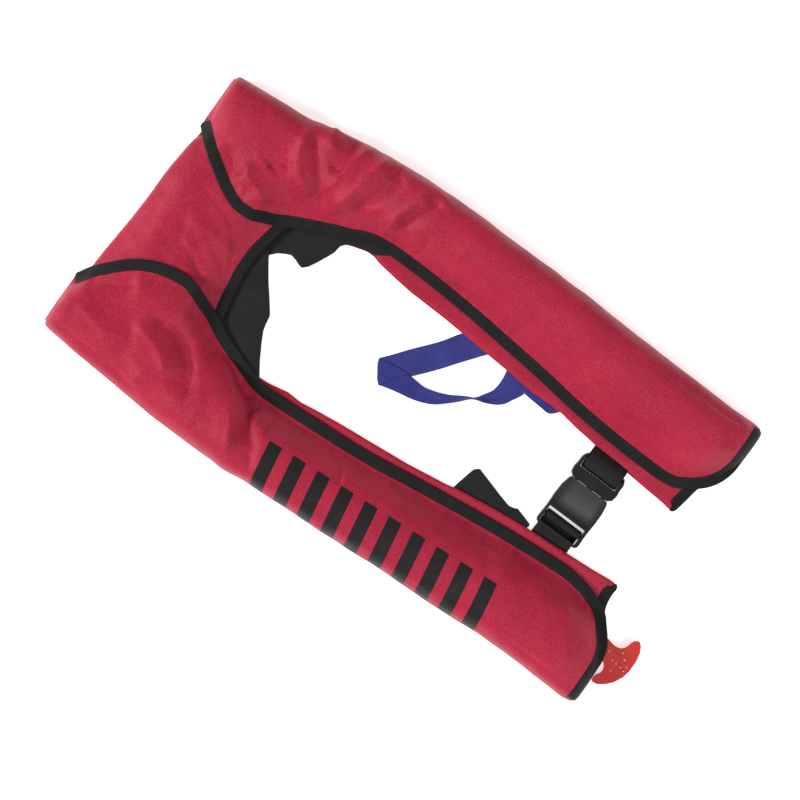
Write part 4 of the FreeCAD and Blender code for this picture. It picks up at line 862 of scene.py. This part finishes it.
tape = tape_on("neck_tape", edge, inward, 9.6, neck_surf, MAT["tape"])
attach(tape, "jacket")
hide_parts("neck_binding")
pts, nrm = [], []
for e, m in zip(edge[2:-2], inward[2:-2]):
    c, n = neck_surf(*(e + m * 8.0))
    pts.append(c + n * 0.28)
    nrm.append(n)
o = stitches("neck_stitch", pts, nrm, MAT["thread"])
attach(o, "jacket")

# ------------------------------------------------------------------ back panel
RIGHT_INNER = [(-25.5, -258), (-27, -240), (-28, -217), (-30, -170), (-33, -130), (-37, -95), (-40, -80), (-45, -40), (-48, 0), (-50, 30), (-53, 60), (-55, 75), (-54, 90), (-57.5, 110), (-58, 122)]
LEFT_INNER = [(96.5, 104), (96, 96), (94, 90), (91, 70), (88.5, 50), (86.5, 10), (84, -20), (82, -42), (80, -66), (77, -93), (76.5, -130), (73, -150), (70, -175), (65, -222), (61.5, -258)]
ARCH = [(-52, 150), (-42, 172), (-30, 183), (0, 188), (30, 190), (58, 184), (72, 165), (88, 135)]
RIGHT_END = [(-138.5, -291), (-136, -293), (-95, -294.3), (-80, -291), (-66, -281), (-52, -270), (-38, -267), (-29, -267.5), (-25.8, -265)]
LEFT_END = [(60, -266), (62, -270), (75, -273), (92, -276.5), (100, -283.5), (112, -291), (126, -294.3), (160, -294.3), (168, -292)]
LEFT_OUT = [(XO[1](y) - 2.2, y) for y in (-283, -250, -200, -150, -120, -80, -50, 0, 40, 95, 110, 130, 160, 180, 200, 220, 240, 270, 288)]
TOP = [(158, 294.5), (115, 296), (50, 299), (0, 301), (-62, 305), (-78, 311.5), (-128, 311.5)]
RIGHT_OUT = [(-(XO[-1](y) - 2.2), y) for y in (305, 265, 240, 210, 180, 150, 115, 100, 75, 50, 0, -50, -100, -150, -190, -220, -250, -283)]
PANEL = RIGHT_END + RIGHT_INNER + ARCH + LEFT_INNER + LEFT_END + LEFT_OUT + TOP + RIGHT_OUT


def distance_to(X, Y, pts, closed=True):
    pts = np.array(pts, float)
    if closed:
        pts = np.concatenate([pts, pts[:1]])
    best = np.full(np.shape(X), 1e9)
    for a, b in zip(pts[:-1], pts[1:]):
        dlt = b - a
        L2 = dlt @ dlt
        if L2 < 1e-9:
            continue
        t = np.clip(((X - a[0]) * dlt[0] + (Y - a[1]) * dlt[1]) / L2, 0, 1)
        best = np.minimum(best, np.hypot(X - a[0] - t * dlt[0], Y - a[1] - t * dlt[1]))
    return best


def inside(X, Y, pts):
    pts = np.array(pts, float)
    c = np.zeros(np.shape(X), bool)
    n = len(pts)
    for i in range(n):
        (x0, y0), (x1, y1) = pts[i], pts[(i + 1) % n]
        if y0 == y1:
            continue
        hit = ((y0 > Y) != (y1 > Y)) & (X < (x1 - x0) * (Y - y0) / (y1 - y0) + x0)
        c ^= hit
    return c


def flat_piece(name, poly, top, thick, mat, step=3.0, grain=(0.0, 1.0), height=None):
    """Flat cloth or webbing cut to a polygon, with its own slight height field; grain is the warp direction."""
    rim = resample(np.array(list(poly) + [poly[0]], float), step=step * 0.8)[:-1]
    lo, hi = rim.min(0), rim.max(0)
    gx, gy = np.meshgrid(np.arange(lo[0], hi[0], step), np.arange(lo[1], hi[1], step * 0.9))
    gx = gx + (np.arange(gx.shape[0])[:, None] % 2) * step * 0.5
    gx, gy = gx.ravel(), gy.ravel()
    ok = inside(gx, gy, rim)
    gx, gy = gx[ok], gy[ok]
    ok = distance_to(gx, gy, rim) > step * 0.55
    gx, gy = gx[ok], gy[ok]
    pts = [Vector(p) for p in rim.tolist()] + [Vector(p) for p in zip(gx.tolist(), gy.tolist())]
    nr = len(rim)
    loop = [(i, (i + 1) % nr) for i in range(nr)]
    vs, _, fs, _, _, _ = geometry.delaunay_2d_cdt(pts, loop, [tuple(range(nr))], 1, 1e-4)
    xy = np.array([(v.x, v.y) for v in vs])
    dist = distance_to(xy[:, 0], xy[:, 1], rim)
    z = np.zeros(len(xy)) if height is None else height(xy[:, 0], xy[:, 1], dist)
    tops = np.column_stack([xy, top + z])
    bots = np.column_stack([xy, top + z - thick])
    n = len(xy)
    count = {}
    for f in fs:
        for a, b in zip(f, list(f[1:]) + [f[0]]):
            count[(a, b)] = 1
    sides = []
    for a, b in count:
        if (b, a) not in count:
            sides.append((b, a, a + n, b + n))
    faces = [tuple(f) for f in fs] + [tuple(i + n for i in reversed(f)) for f in fs] + sides
    g = np.array(grain, float)
    g /= np.linalg.norm(g)
    uvp = np.column_stack([xy @ g, xy @ np.array([-g[1], g[0]])])
    ob = make_mesh(name, np.concatenate([tops, bots]), faces, mat, uv=np.concatenate([uvp, uvp]))
    fix_normals(ob)
    return ob


INNER_EDGES = [RIGHT_INNER, ARCH, LEFT_INNER]


def panel_height(x, y, dist):
    near = np.full(x.shape, 1e9)
    for e in INNER_EDGES:
        near = np.minimum(near, distance_to(x, y, e, closed=False))
    z = 0.45 * fbm(x, y, 0.0, 42.0, 2, seed=2.0)
    z = z * np.exp(-((near / 34.0) ** 2))
    hem = 0.35 * smooth01(near / 1.2) * (near < 9) - 0.3 * np.exp(-(((near - 6.4) / 0.9) ** 2))
    c = line_field(x, y, [(88, 47), (96, 43), (104, 45)], 3, -1.0) + line_field(x, y, [(74, -136), (82, -142), (90, -144)], 3, -1.0)
    c += line_field(x, y, [(70, -200), (78, -214), (82, -236)], 4, 0.8) + line_field(x, y, [(-34, -110), (-46, -118)], 3, -0.8)
    return np.clip(z + hem + c, -0.1, 0.85)


panel = flat_piece("back_panel_cloth", PANEL, 4.75, 1.1, MAT["red"], step=3.4, height=panel_height)
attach(panel, "jacket")
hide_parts("cover_back_panel")

obs = []
for e, name in ((RIGHT_INNER, "right"), (LEFT_INNER, "left")):
    line = resample(catmull(e, 6), step=2.4)
    m = edge_frame(line)
    if name == "right" and m[5][0] > 0:
        m = -m
    if name == "left" and m[5][0] < 0:
        m = -m
    q = line + m * 6.4
    zz = 4.75 + panel_height(q[:, 0], q[:, 1], None)
    pts = np.column_stack([q, zz + 0.12])
    obs.append(stitches(name + "_hem_stitch", pts, [(0, 0, 1)] * len(pts), MAT["red_thread"], r=0.26))
o = join("hem_stitch", obs)
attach(o, "jacket")


def flat_surf(z):
    return lambda x, y: (np.array([x, y, z]), np.array([0.0, 0.0, 1.0]))


for pts, name, w in ((RIGHT_END, "right", 10.0), (LEFT_END, "left", 10.0)):
    edge = resample(catmull(pts, 6), step=2.4)
    m = edge_frame(edge)
    tape = tape_on(name + "_end_tape", edge, m, w, flat_surf(4.75), MAT["tape"], thick=1.1, rise=0.45)
    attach(tape, "jacket")
    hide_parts(name + "_end_binding")
    q = edge[1:-1] + m[1:-1] * (w - 1.6)
    o = stitches(name + "_end_stitch", np.column_stack([q, np.full(len(q), 5.1)]), [(0, 0, 1)] * len(q), MAT["thread"])
    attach(o, "jacket")


# ------------------------------------------------------------------ webbing
def ribbon(name, A, B, mat, thick=1.4, ribs=11, rib_h=0.16, step=1.6, curl=0.0, smooth_path=True, wobble=0.0, seed=0.0, round_a=0.0, round_b=0.0):
    """Strap between two edge lines of 3-D points, with woven ribs along it."""
    A, B = np.array(A, float), np.array(B, float)
    if smooth_path:
        A, B = catmull(A, 14), catmull(B, 14)
    M = (A + B) / 2
    seg = np.linalg.norm(np.diff(M, axis=0), axis=1)
    acc = np.concatenate([[0], np.cumsum(seg)])
    n = max(6, int(acc[-1] / step))
    d = np.linspace(0, acc[-1], n)
    fine = np.array([0.05, 0.2, 0.5, 0.9, 1.4, 2.0, 2.7])
    if round_a:
        d = np.union1d(d, fine)
    if round_b:
        d = np.union1d(d, acc[-1] - fine)
    n = len(d)
    A = np.stack([np.interp(d, acc, A[:, k]) for k in range(3)], axis=1)
    B = np.stack([np.interp(d, acc, B[:, k]) for k in range(3)], axis=1)
    M = (A + B) / 2
    T = np.gradient(M, axis=0)
    T /= np.maximum(np.linalg.norm(T, axis=1, keepdims=True), 1e-9)
    W = B - A
    width = np.linalg.norm(W, axis=1)
    Nn = np.cross(T, W)
    Nn /= np.maximum(np.linalg.norm(Nn, axis=1, keepdims=True), 1e-9)
    for i in range(1, n):
        if Nn[i] @ Nn[i - 1] < 0:
            Nn[i] = -Nn[i]
    for _ in range(2):
        Nn[1:-1] = 0.25 * Nn[:-2] + 0.5 * Nn[1:-1] + 0.25 * Nn[2:]
        Nn /= np.maximum(np.linalg.norm(Nn, axis=1, keepdims=True), 1e-9)
    nc = ribs * 4 + 1
    v = np.linspace(0, 1, nc)
    shape = (1 - np.abs(2 * v - 1) ** 14) ** 0.5
    rib = 0.5 - 0.5 * np.cos(2 * math.pi * v * ribs)
    half = (thick / 2 - rib_h) * np.maximum(shape, 0.25) + rib_h * rib * shape
    mean = float(np.median(width))
    rings, uvs = [], []
    for i in range(n):
        c = curl * (0.25 - (v - 0.5) ** 2) * 4
        wob = wobble * noise.noise(Vector((d[i] / 16.0, seed, 0.0)))
        ins = 0.0
        for rr, rem in ((round_a, d[i]), (round_b, acc[-1] - d[i])):
            if rr and rem < rr:
                ins = max(ins, rr * (1 - math.sqrt(max(0.0, 1 - ((rr - rem) / rr) ** 2))))
        ins = min(ins / max(width[i], 1e-6), 0.45)
        vv = ins + v * (1 - 2 * ins)
        mid = A[i] + W[i] * vv[:, None] + Nn[i] * (c + wob)[:, None]
        top = mid + Nn[i] * half[:, None]
        bot = mid - Nn[i] * half[:, None]
        rings.append(np.concatenate([top, bot[::-1]]))
        us = np.column_stack([np.full(nc, d[i]), v * mean])
        uvs.append(np.concatenate([us, us[::-1]]))
    return ring_mesh(name, rings, mat, uv=uvs)


# shoulder webbing under the neck arch
YR = [(-68, 118), (-58, 120), (-45, 128.5), (-30, 137), (-20, 142), (-14, 143.5), (-5, 145), (0, 148.5), (10, 156), (20, 164), (30, 171), (38, 176.5), (46, 181), (50, 190), (28, 192), (0, 190), (-28, 187), (-44, 178), (-56, 158), (-68, 132)]
YL = [(41, 178.5), (47, 173), (51, 166), (53, 161), (51.5, 155), (49, 149), (49, 146), (53, 142), (60, 138), (70, 133), (78, 129.5), (86, 128.3), (90, 125), (93.5, 118), (95.5, 110), (97, 98), (106, 84), (113, 92), (110, 112), (101, 138), (90, 160), (76, 180), (60, 188), (40, 191)]


def yoke_height(dirs):
    def f(x, y, dist):
        c = math.cos(math.radians(dirs))
        s = math.sin(math.radians(dirs))
        across = -x * s + y * c
        along = x * c + y * s
        z = 0.35 * np.sin(across / 7.5) + 0.25 * fbm(x, y, 0.0, 14.0, 2, seed=dirs)
        band = 0.35 + 0.65 * smooth01(np.sin(2 * math.pi * (along + 8.0) / 52.0) * 1.6 + 0.4)
        z += 0.17 * np.cos(2 * math.pi * along / 2.9) * band
        z -= 0.45 * (1 - smooth01(dist / 1.2))
        return z

    return f


yr = flat_piece("yoke_right_webbing", YR, 7.9, 1.3, MAT["web"], step=1.5, grain=(0.5, -0.87), height=yoke_height(30))
yl = flat_piece("yoke_left_webbing", YL, 6.2, 1.3, MAT["web"], step=1.5, grain=(0.423, 0.906), height=yoke_height(-25))
for o, n in ((yr, "yoke_strap_right"), (yl, "yoke_strap_left")):
    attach(o, "jacket")
    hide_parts(n)

# back strap, two layers under the neck panel
bs = ribbon("back_strap_webbing", [(2, 204, 1.8), (2, 246, 1.7), (2, 290, 1.8)], [(42, 204, 1.8), (42, 246, 1.7), (42, 290, 1.8)], MAT["web"], thick=3.2, ribs=14, step=2.5)
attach(bs, "jacket")
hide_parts("back_strap")

# belts, in the buckle's own axes: x along the belt towards the left lobe
CB, SB = math.cos(math.radians(-2.0)), math.sin(math.radians(-2.0))


def belt_point(x, y, z):
    return (8.0 + x * CB - y * SB, -192.0 + x * SB + y * CB, z)


def belt(name, path, mat=None, half=19.6, **kw):
    A = [belt_point(x, -half, z) for x, z in path]
    B = [belt_point(x, half, z) for x, z in path]
    return ribbon(name, A, B, mat or MAT["web"], thick=1.35, ribs=14, rib_h=0.15, **kw)


arc_r = [(-16.0 + 4.0 * math.sin(math.radians(a)), 6.5 - 4.0 * math.cos(math.radians(a))) for a in range(10, 171, 20)]
br = belt("belt_right_webbing", [(-52, 0.75), (-40, 0.78), (-32, 0.9), (-23, 1.7)] + arc_r + [(-19.4, 10.3)], step=1.4)
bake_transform(br)
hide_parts("waist_belt_right")
# the left half in three runs: up from under the panel, through the plug's slot, and back over its bar
bl = belt("belt_left_lower_webbing", [(150, 0.75), (120, 0.75), (90, 0.75), (72, 0.75), (66, 0.9), (60, 1.0), (54.8, 1.1)], step=1.2)
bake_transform(bl)
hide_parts("waist_belt_left")
bu = belt("belt_left_slot_webbing", [(55, 1.1), (50, 1.3), (44.5, 1.6), (40.0, 2.8), (38.35, 6.0), (39.4, 9.2), (43.6, 10.8), (49, 11.2)], step=1.0)
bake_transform(bu)
bo = belt("belt_left_over_webbing", [(48.6, 11.2), (53.2, 10.4), (56.4, 8.2), (59.5, 5.4), (62.5, 3.6)], step=1.2)
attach(bo, "belt_plug")

# loose end of the belt under its slider
TAIL = [(-10, -98.5), (-13, -94.5), (-17, -93), (-35, -88.5), (-47.9, -87.1), (-68.9, -156.6), (-31, -168), (-30, -164), (-26, -157), (-22.5, -151), (-21.5, -147.5), (-23, -141), (-20, -130), (-13, -108)]


def tail_height(x, y, dist):
    ax, ay = 0.29068, 0.95682
    along = (x + 30) * ax + (y + 130) * ay
    across = -(x + 30) * ay + (y + 130) * ax
    z = 0.12 * np.cos(2 * math.pi * across / 2.9) + 0.2 * np.sin(along / 9.0) + 0.35 * np.exp(-(((along - 32) / 5.0) ** 2))
    return z - 0.4 * (1 - smooth01(dist / 1.1))


bt = flat_piece("belt_tail_webbing", TAIL, 2.25, 1.3, MAT["web"], step=1.3, grain=(0.29068, 0.95682), height=tail_height)
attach(bt, "jacket")
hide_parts("belt_tail")

# blue lifting loop: a flat leg, a fold, a second leg with a half twist, and the end under the lobe
legs = []
A = [(112, -38, 0.8), (98, -25, 0.8), (84, -11.5, 0.9), (70, -2, 0.9), (60, 6, 1.0), (45, 19, 1.0), (30, 31, 0.9), (20.5, 39.3, 0.8)]
B = [(104, -62, 0.8), (92, -52, 0.8), (81, -42.3, 0.9), (72, -35, 0.9), (60, -25.5, 1.0), (45, -14, 1.0), (28, 0.5, 0.9), (0.5, 25.5, 0.8)]
legs.append(ribbon("loop_a", A, B, MAT["blue"], ribs=10, rib_h=0.17, thick=1.35, step=1.6, round_b=3.2))
A = [(20.5, 39.0, 0.9), (1.0, 27.3, 1.0), (0.0, 24, 1.9), (2, 17, 2.3), (4.5, 5, 2.4), (6.5, -7, 2.6), (10, -19, 3.0), (15, -29, 3.6), (24, -39.5, 4.4), (31, -46.5, 3.6), (38, -52, 2.0), (43.5, -57.5, 1.6), (49.5, -61.5, 1.8), (57, -66, 1.6), (64, -67.5, 1.4), (74, -67.2, 1.3), (86, -65, 1.2), (100, -63, 1.2)]
B = [(22.5, 37.0, 0.95), (23.5, 20, 1.2), (24.6, 8, 2.0), (23.6, -3, 2.5), (23, -10, 2.8), (24, -17, 3.4), (27, -27, 5.0), (31, -36, 7.8), (36, -44.5, 11.5), (39.5, -51.5, 13.0), (41.5, -58, 11.5), (43.5, -67, 8.0), (47.5, -76, 4.8), (53, -82.5, 3.0), (59, -86, 2.2), (69, -91.5, 1.8), (82, -95, 1.4), (98, -96, 1.2)]
legs.append(ribbon("loop_b", A[2:], B[2:], MAT["blue"], ribs=10, rib_h=0.17, thick=1.35, step=1.4))
A = [(71.6, -93, 1.0), (70.8, -99, 1.0), (70.2, -106, 1.0), (69.2, -117, 1.0), (69.2, -121, 1.0), (71, -124.5, 1.0), (76.5, -129.5, 1.0)]
B = [(96, -90, 1.0), (96, -97, 1.0), (96, -105, 1.0), (95, -112, 1.0), (95, -116, 1.0), (96, -119, 1.0), (99, -122, 1.0)]
legs.append(ribbon("loop_c", A, B, MAT["blue"], ribs=10, rib_h=0.17, thick=1.3, step=1.6))
# the fold itself: a rounded roll joining the two layers
fa, fb = np.array([18.2, 37.4, 0.0]), np.array([2.8, 27.3, 0.0])
ax = (fb - fa) / np.linalg.norm(fb - fa)
outw = np.array([ax[1], -ax[0], 0.0])
if outw @ np.array([-0.55, 0.83, 0.0]) < 0:
    outw = -outw
Aroll, Broll = [], []
for k in range(0, 9):
    an = math.pi * k / 8
    off = outw * (0.95 * math.sin(an)) + np.array([0, 0, 1.7 - 0.85 * math.cos(an)])
    Aroll.append(fa + off - outw * 0.6)
    Broll.append(fb + off - outw * 0.6)
legs.append(ribbon("loop_roll", Aroll, Broll, MAT["blue"], ribs=10, rib_h=0.1, thick=1.2, step=0.35))
# top layer of the fold, from the roll to the second leg
A = [(20.8, 39.0, 2.5), (21.8, 34, 2.45), (23.2, 26, 2.4), (24.2, 16, 2.4), (24.6, 8, 2.3)]
B = [(0.2, 25.8, 2.5), (0.0, 25.2, 2.45), (0.0, 24.6, 2.4), (0.0, 24.2, 2.3), (0.0, 24, 2.2)]
legs.append(ribbon("loop_fold", A, B, MAT["blue"], ribs=10, rib_h=0.14, thick=1.3, step=1.2, round_a=3.2))
lift = join("lifting_strap_webbing", legs)
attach(lift, "jacket")
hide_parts("lifting_strap")

# touch fastener strips
for side, name in ((1, "left"), (-1, "right")):
    ys = [-238, -200, -150, -100, -50, 0, 50, 70]
    for kind, z, mat, body, h in (("hook", 5.25, "hook", "jacket", 0.12), ("loop", 6.65, "loop", name + "_flap_body", 0.16)):
        A = [(side * (XI[side](y) + 1.2), y, z) for y in ys]
        B = [(side * (XI[side](y) + 10.3), y, z) for y in ys]
        o = ribbon("%s_%s_webbing" % (name, kind), A, B, MAT[mat], thick=0.9 if kind == "hook" else 1.1, ribs=6, rib_h=h, step=2.2)
        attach(o, body)
        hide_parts("%s_%s_strip" % (name, kind))

# ------------------------------------------------------------------ bladder
def bladder_piece():
    src = NODES["bladder"]
    ob = bpy.data.objects.new("bladder_padded", src.data.copy())
    scene.collection.objects.link(ob)
    ob.parent = None
    ob.data.materials.clear()
    mod = ob.modifiers.new("remesh", "REMESH")
    mod.mode = "VOXEL"
    mod.voxel_size = 0.0045
    apply_modifiers(ob)
    rest = np.zeros(len(ob.data.vertices) * 3, np.float32)
    ob.data.vertices.foreach_get("co", rest)
    rest = rest.reshape(-1, 3).astype(float)
    # start from a slightly smaller shape, which the pressure then fills
    nrm = np.zeros(len(ob.data.vertices) * 3, np.float32)
    ob.data.vertices.foreach_get("normal", nrm)
    nrm = nrm.reshape(-1, 3).astype(float)
    co = rest - nrm * 0.0011
    ob.data.vertices.foreach_set("co", co.astype(np.float32).ravel())
    ob.data.update()
    c = ob.modifiers.new("cloth", "CLOTH")
    c.settings.use_pressure = True
    c.settings.uniform_pressure_force = 2.5
    c.settings.quality = 4
    c.settings.mass = 0.15
    c.settings.tension_stiffness = 8
    c.settings.compression_stiffness = 8
    c.settings.bending_stiffness = 0.4
    c.settings.effector_weights.gravity = 0
    c.collision_settings.use_collision = False
    c.point_cache.frame_start, c.point_cache.frame_end = 1, 14
    for f in range(1, 15):
        scene.frame_set(f)
    apply_modifiers(ob)
    scene.frame_set(1)
    now = np.zeros(len(ob.data.vertices) * 3, np.float32)
    ob.data.vertices.foreach_get("co", now)
    now = now.reshape(-1, 3).astype(float)
    if now.shape == co.shape and np.isfinite(now).all():
        mv = now - co
        length = np.linalg.norm(mv, axis=1, keepdims=True)
        cap = 0.0011
        mv *= np.minimum(1.0, cap / np.maximum(length, 1e-9))
        co = co + mv
        ob.data.vertices.foreach_set("co", co.astype(np.float32).ravel())
        ob.data.update()
    # creases of the folded cloth
    X, Y, Z = co[:, 0] * 1000 - DX, co[:, 1] * 1000 - DY, co[:, 2] * 1000
    low = 1.0 - 0.13 * smooth01((Y - 40.0) / 50.0)
    Z = np.where(Z > 8.0, 8.0 + (Z - 8.0) * low, Z)
    co[:, 2] = Z * 0.001
    up = np.clip(nrm[:, 2], 0, 1)
    d = 0.7 * fbm(X, Y, Z, 17.0, 2, seed=9.0) - 0.7
    for y in range(-250, 300, 42):
        d -= 1.0 * np.exp(-(((Y - y - 3 * np.sin(X / 14.0)) / 2.2) ** 2))
    co = co + nrm * (d * 0.001 * (0.35 + 0.65 * up))[:, None]
    ob.data.vertices.foreach_set("co", co.astype(np.float32).ravel())
    ob.data.polygons.foreach_set("use_smooth", [True] * len(ob.data.polygons))
    ob.data.materials.clear()
    ob.data.materials.append(MAT["bladder"])
    at = ob.data.attributes.get("cloth_uv") or ob.data.attributes.new("cloth_uv", "FLOAT_VECTOR", "POINT")
    at.data.foreach_set("vector", co.astype(np.float32).ravel())
    ob.data.update()
    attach(ob, "jacket")
    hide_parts("bladder")
    return ob


bladder_piece()

# ------------------------------------------------------------------ carried-over hard parts
HARD = {
    "buckle_socket": "buckle", "buckle_plug": "black", "buckle_prong_upper": "black", "buckle_prong_lower": "black", "tail_slider": "black",
    "co2_cylinder": "steel", "inflator_body": "housing", "manifold": "rubber", "manifold_gaskets": "rubber", "inflator_nut": "brass",
    "lever_pivot_pin": "bright", "pin_spring": "bright", "status_clip": "green", "oral_tube_flange": "rubber", "oral_tube": "rubber",
    "oral_valve_housing": "valve", "valve_spring": "bright", "tube_clip": "grey", "whistle": "whistle", "whistle_tab": "web",
    "pull_handle": "handle", "pull_lanyard": "cordred", "inflator_lever": "satin", "piercing_pin": "bright", "oral_cap": "cap", "oral_valve_poppet": "valve",
    "reflective_tape": "reflect",
}
BEVEL = {"buckle_socket": 0.0011, "buckle_plug": 0.0011, "tail_slider": 0.0005, "pull_handle": 0.0011, "inflator_body": 0.0008, "whistle": 0.0006, "inflator_lever": 0.0005, "tube_clip": 0.0004, "inflator_nut": 0.0004, "buckle_prong_upper": 0.0004, "buckle_prong_lower": 0.0004}
for n, k in HARD.items():
    o = NODES[n]
    if len(o.material_slots):
        for sl in o.material_slots:
            sl.material = MAT[k]
    else:
        o.data.materials.append(MAT[k])
    if n in BEVEL:
        b = o.modifiers.new("edges", "BEVEL")
        b.width = BEVEL[n]
        b.segments = 2
        b.limit_method = "ANGLE"
        b.angle_limit = math.radians(35)
        b.harden_normals = False

# coil springs and the lanyard as smooth copies of their own, carried by their bodies
for n, joint, axis, end, keep, body in (("pin_spring", "pin_stroke", (0, 1, 0), "high", 0.15, "jacket"), ("valve_spring", "valve_press", (0, 1, 0), "low", 0.766, "jacket"), ("pull_lanyard", "handle_pull", (0, 0, 1), "low", 0.55, "handle")):
    src = NODES[n]
    me2 = src.data.copy()
    me2.transform(src.matrix_world)
    o = bpy.data.objects.new(n + "_soft", me2)
    scene.collection.objects.link(o)
    me2.materials.clear()
    me2.materials.append(MAT["cordred"] if n == "pull_lanyard" else MAT["bright"])
    me2.polygons.foreach_set("use_smooth", [True] * len(me2.polygons))
    co = np.zeros(len(me2.vertices) * 3, np.float32)
    me2.vertices.foreach_get("co", co)
    at = me2.attributes.new("cloth_uv", "FLOAT_VECTOR", "POINT")
    at.data.foreach_set("vector", co)
    co = co.reshape(-1, 3)
    mid = co.mean(0)
    k = axis.index(1)
    mid[k] = co[:, k].max() if end == "high" else co[:, k].min()
    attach(o, body)
    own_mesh(o)
    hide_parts(n)

# raised dots on the pull handle, coloured pale pink against its red
hm = NODES["pull_handle"]
deps = bpy.context.evaluated_depsgraph_get()
src = hm.evaluated_get(deps).to_mesh()
mw = hm.matrix_world
tip = BVHTree.FromPolygons([mw @ v.co for v in src.vertices], [tuple(p.vertices) for p in src.polygons])
verts, faces = [], []
for x, y in ((-80.6, -294.8), (-85.8, -301.9), (-86.4, -306.8), (-87.3, -312.0), (-88.6, -316.2), (-74.9, -306.2), (-79.4, -311.4), (-84.2, -316.6), (-94.7, -306.4)):
    hit, nn, _, _ = tip.ray_cast(Vector(P(x, y, 60)), Vector((0, 0, -1)))
    if hit is None or nn.z < 0.5:
        continue
    base = len(verts)
    z = hit.z * 1000.0
    for rr, zz in ((0.85, -0.3), (0.8, 0.1), (0.55, 0.24), (0.2, 0.3)):
        for k in range(10):
            an = 2 * math.pi * k / 10
            verts.append((x + rr * math.cos(an), y + rr * math.sin(an), z + zz))
    for i in range(3):
        for k in range(10):
            u0, u1 = base + i * 10 + k, base + i * 10 + (k + 1) % 10
            faces.append((u0, u1, u1 + 10, u0 + 10))
    faces.append(tuple(base + k for k in range(9, -1, -1)))
    faces.append(tuple(base + 30 + k for k in range(10)))
hm.evaluated_get(deps).to_mesh_clear()
if verts:
    dots = make_mesh("handle_dots", verts, faces, MAT["dots"])
    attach(dots, "handle")

# ------------------------------------------------------------------ floor, light, camera
me = bpy.data.meshes.new("floor")
me.from_pydata([(-4, -4, -0.0004), (4, -4, -0.0004), (4, 4, -0.0004), (-4, 4, -0.0004)], [], [(0, 1, 2, 3)])
floor = bpy.data.objects.new("floor", me)
scene.collection.objects.link(floor)
fm, nt, bsdf = nodes_of("floor_paper")
col = mix_colour(nt, calc(nt, "MULTIPLY", noise_of(nt, 6.0, 3.0), 0.15), (0.90, 0.90, 0.90), (0.93, 0.93, 0.93))
nt.links.new(col, bsdf.inputs["Base Color"])
bsdf.inputs["Roughness"].default_value = 0.9
bsdf.inputs["Emission Color"].default_value = (1.0, 1.0, 1.0, 1.0)
bsdf.inputs["Emission Strength"].default_value = 0.6
me.materials.append(fm)

world = bpy.data.worlds.new("studio")
scene.world = world
world.use_nodes = True
bg = world.node_tree.nodes["Background"]
bg.inputs[0].default_value = (1.0, 1.0, 1.0, 1.0)
bg.inputs[1].default_value = 0.30

UP = np.array([0.820, 0.572, 0.0])
RIGHT = np.array([0.572, -0.820, 0.0])


def area(name, where, size, power, colour=(1, 1, 1)):
    d = bpy.data.lights.new(name, "AREA")
    d.shape = "SQUARE"
    d.size = size
    d.energy = power
    d.color = colour
    o = bpy.data.objects.new(name, d)
    scene.collection.objects.link(o)
    o.location = where
    o.rotation_euler = (Vector(where) * -1).to_track_quat("-Z", "Y").to_euler()
    return o


key = -RIGHT * 2.6 + UP * 0.45
area("key", (key[0], key[1], 1.6), 0.55, 78.0)
fill = UP * 0.4 + RIGHT * 1.3
area("fill", (fill[0], fill[1], 1.8), 1.2, 3.0)
low = -UP * 1.25 + RIGHT * 0.8
area("low", (low[0], low[1], 1.6), 0.8, 21.0)

cam = bpy.data.cameras.new("camera")
cam.lens = 100
cam.sensor_width = 36
camera = bpy.data.objects.new("camera", cam)
scene.collection.objects.link(camera)
camera.location = (DX * 0.001, DY * 0.001, 0.744 * 100 / 36 + 0.02)
camera.rotation_euler = (0, 0, math.radians(-55.1))
cam.clip_start, cam.clip_end = 0.05, 50
scene.camera = camera
scene.view_settings.view_transform = "Standard"
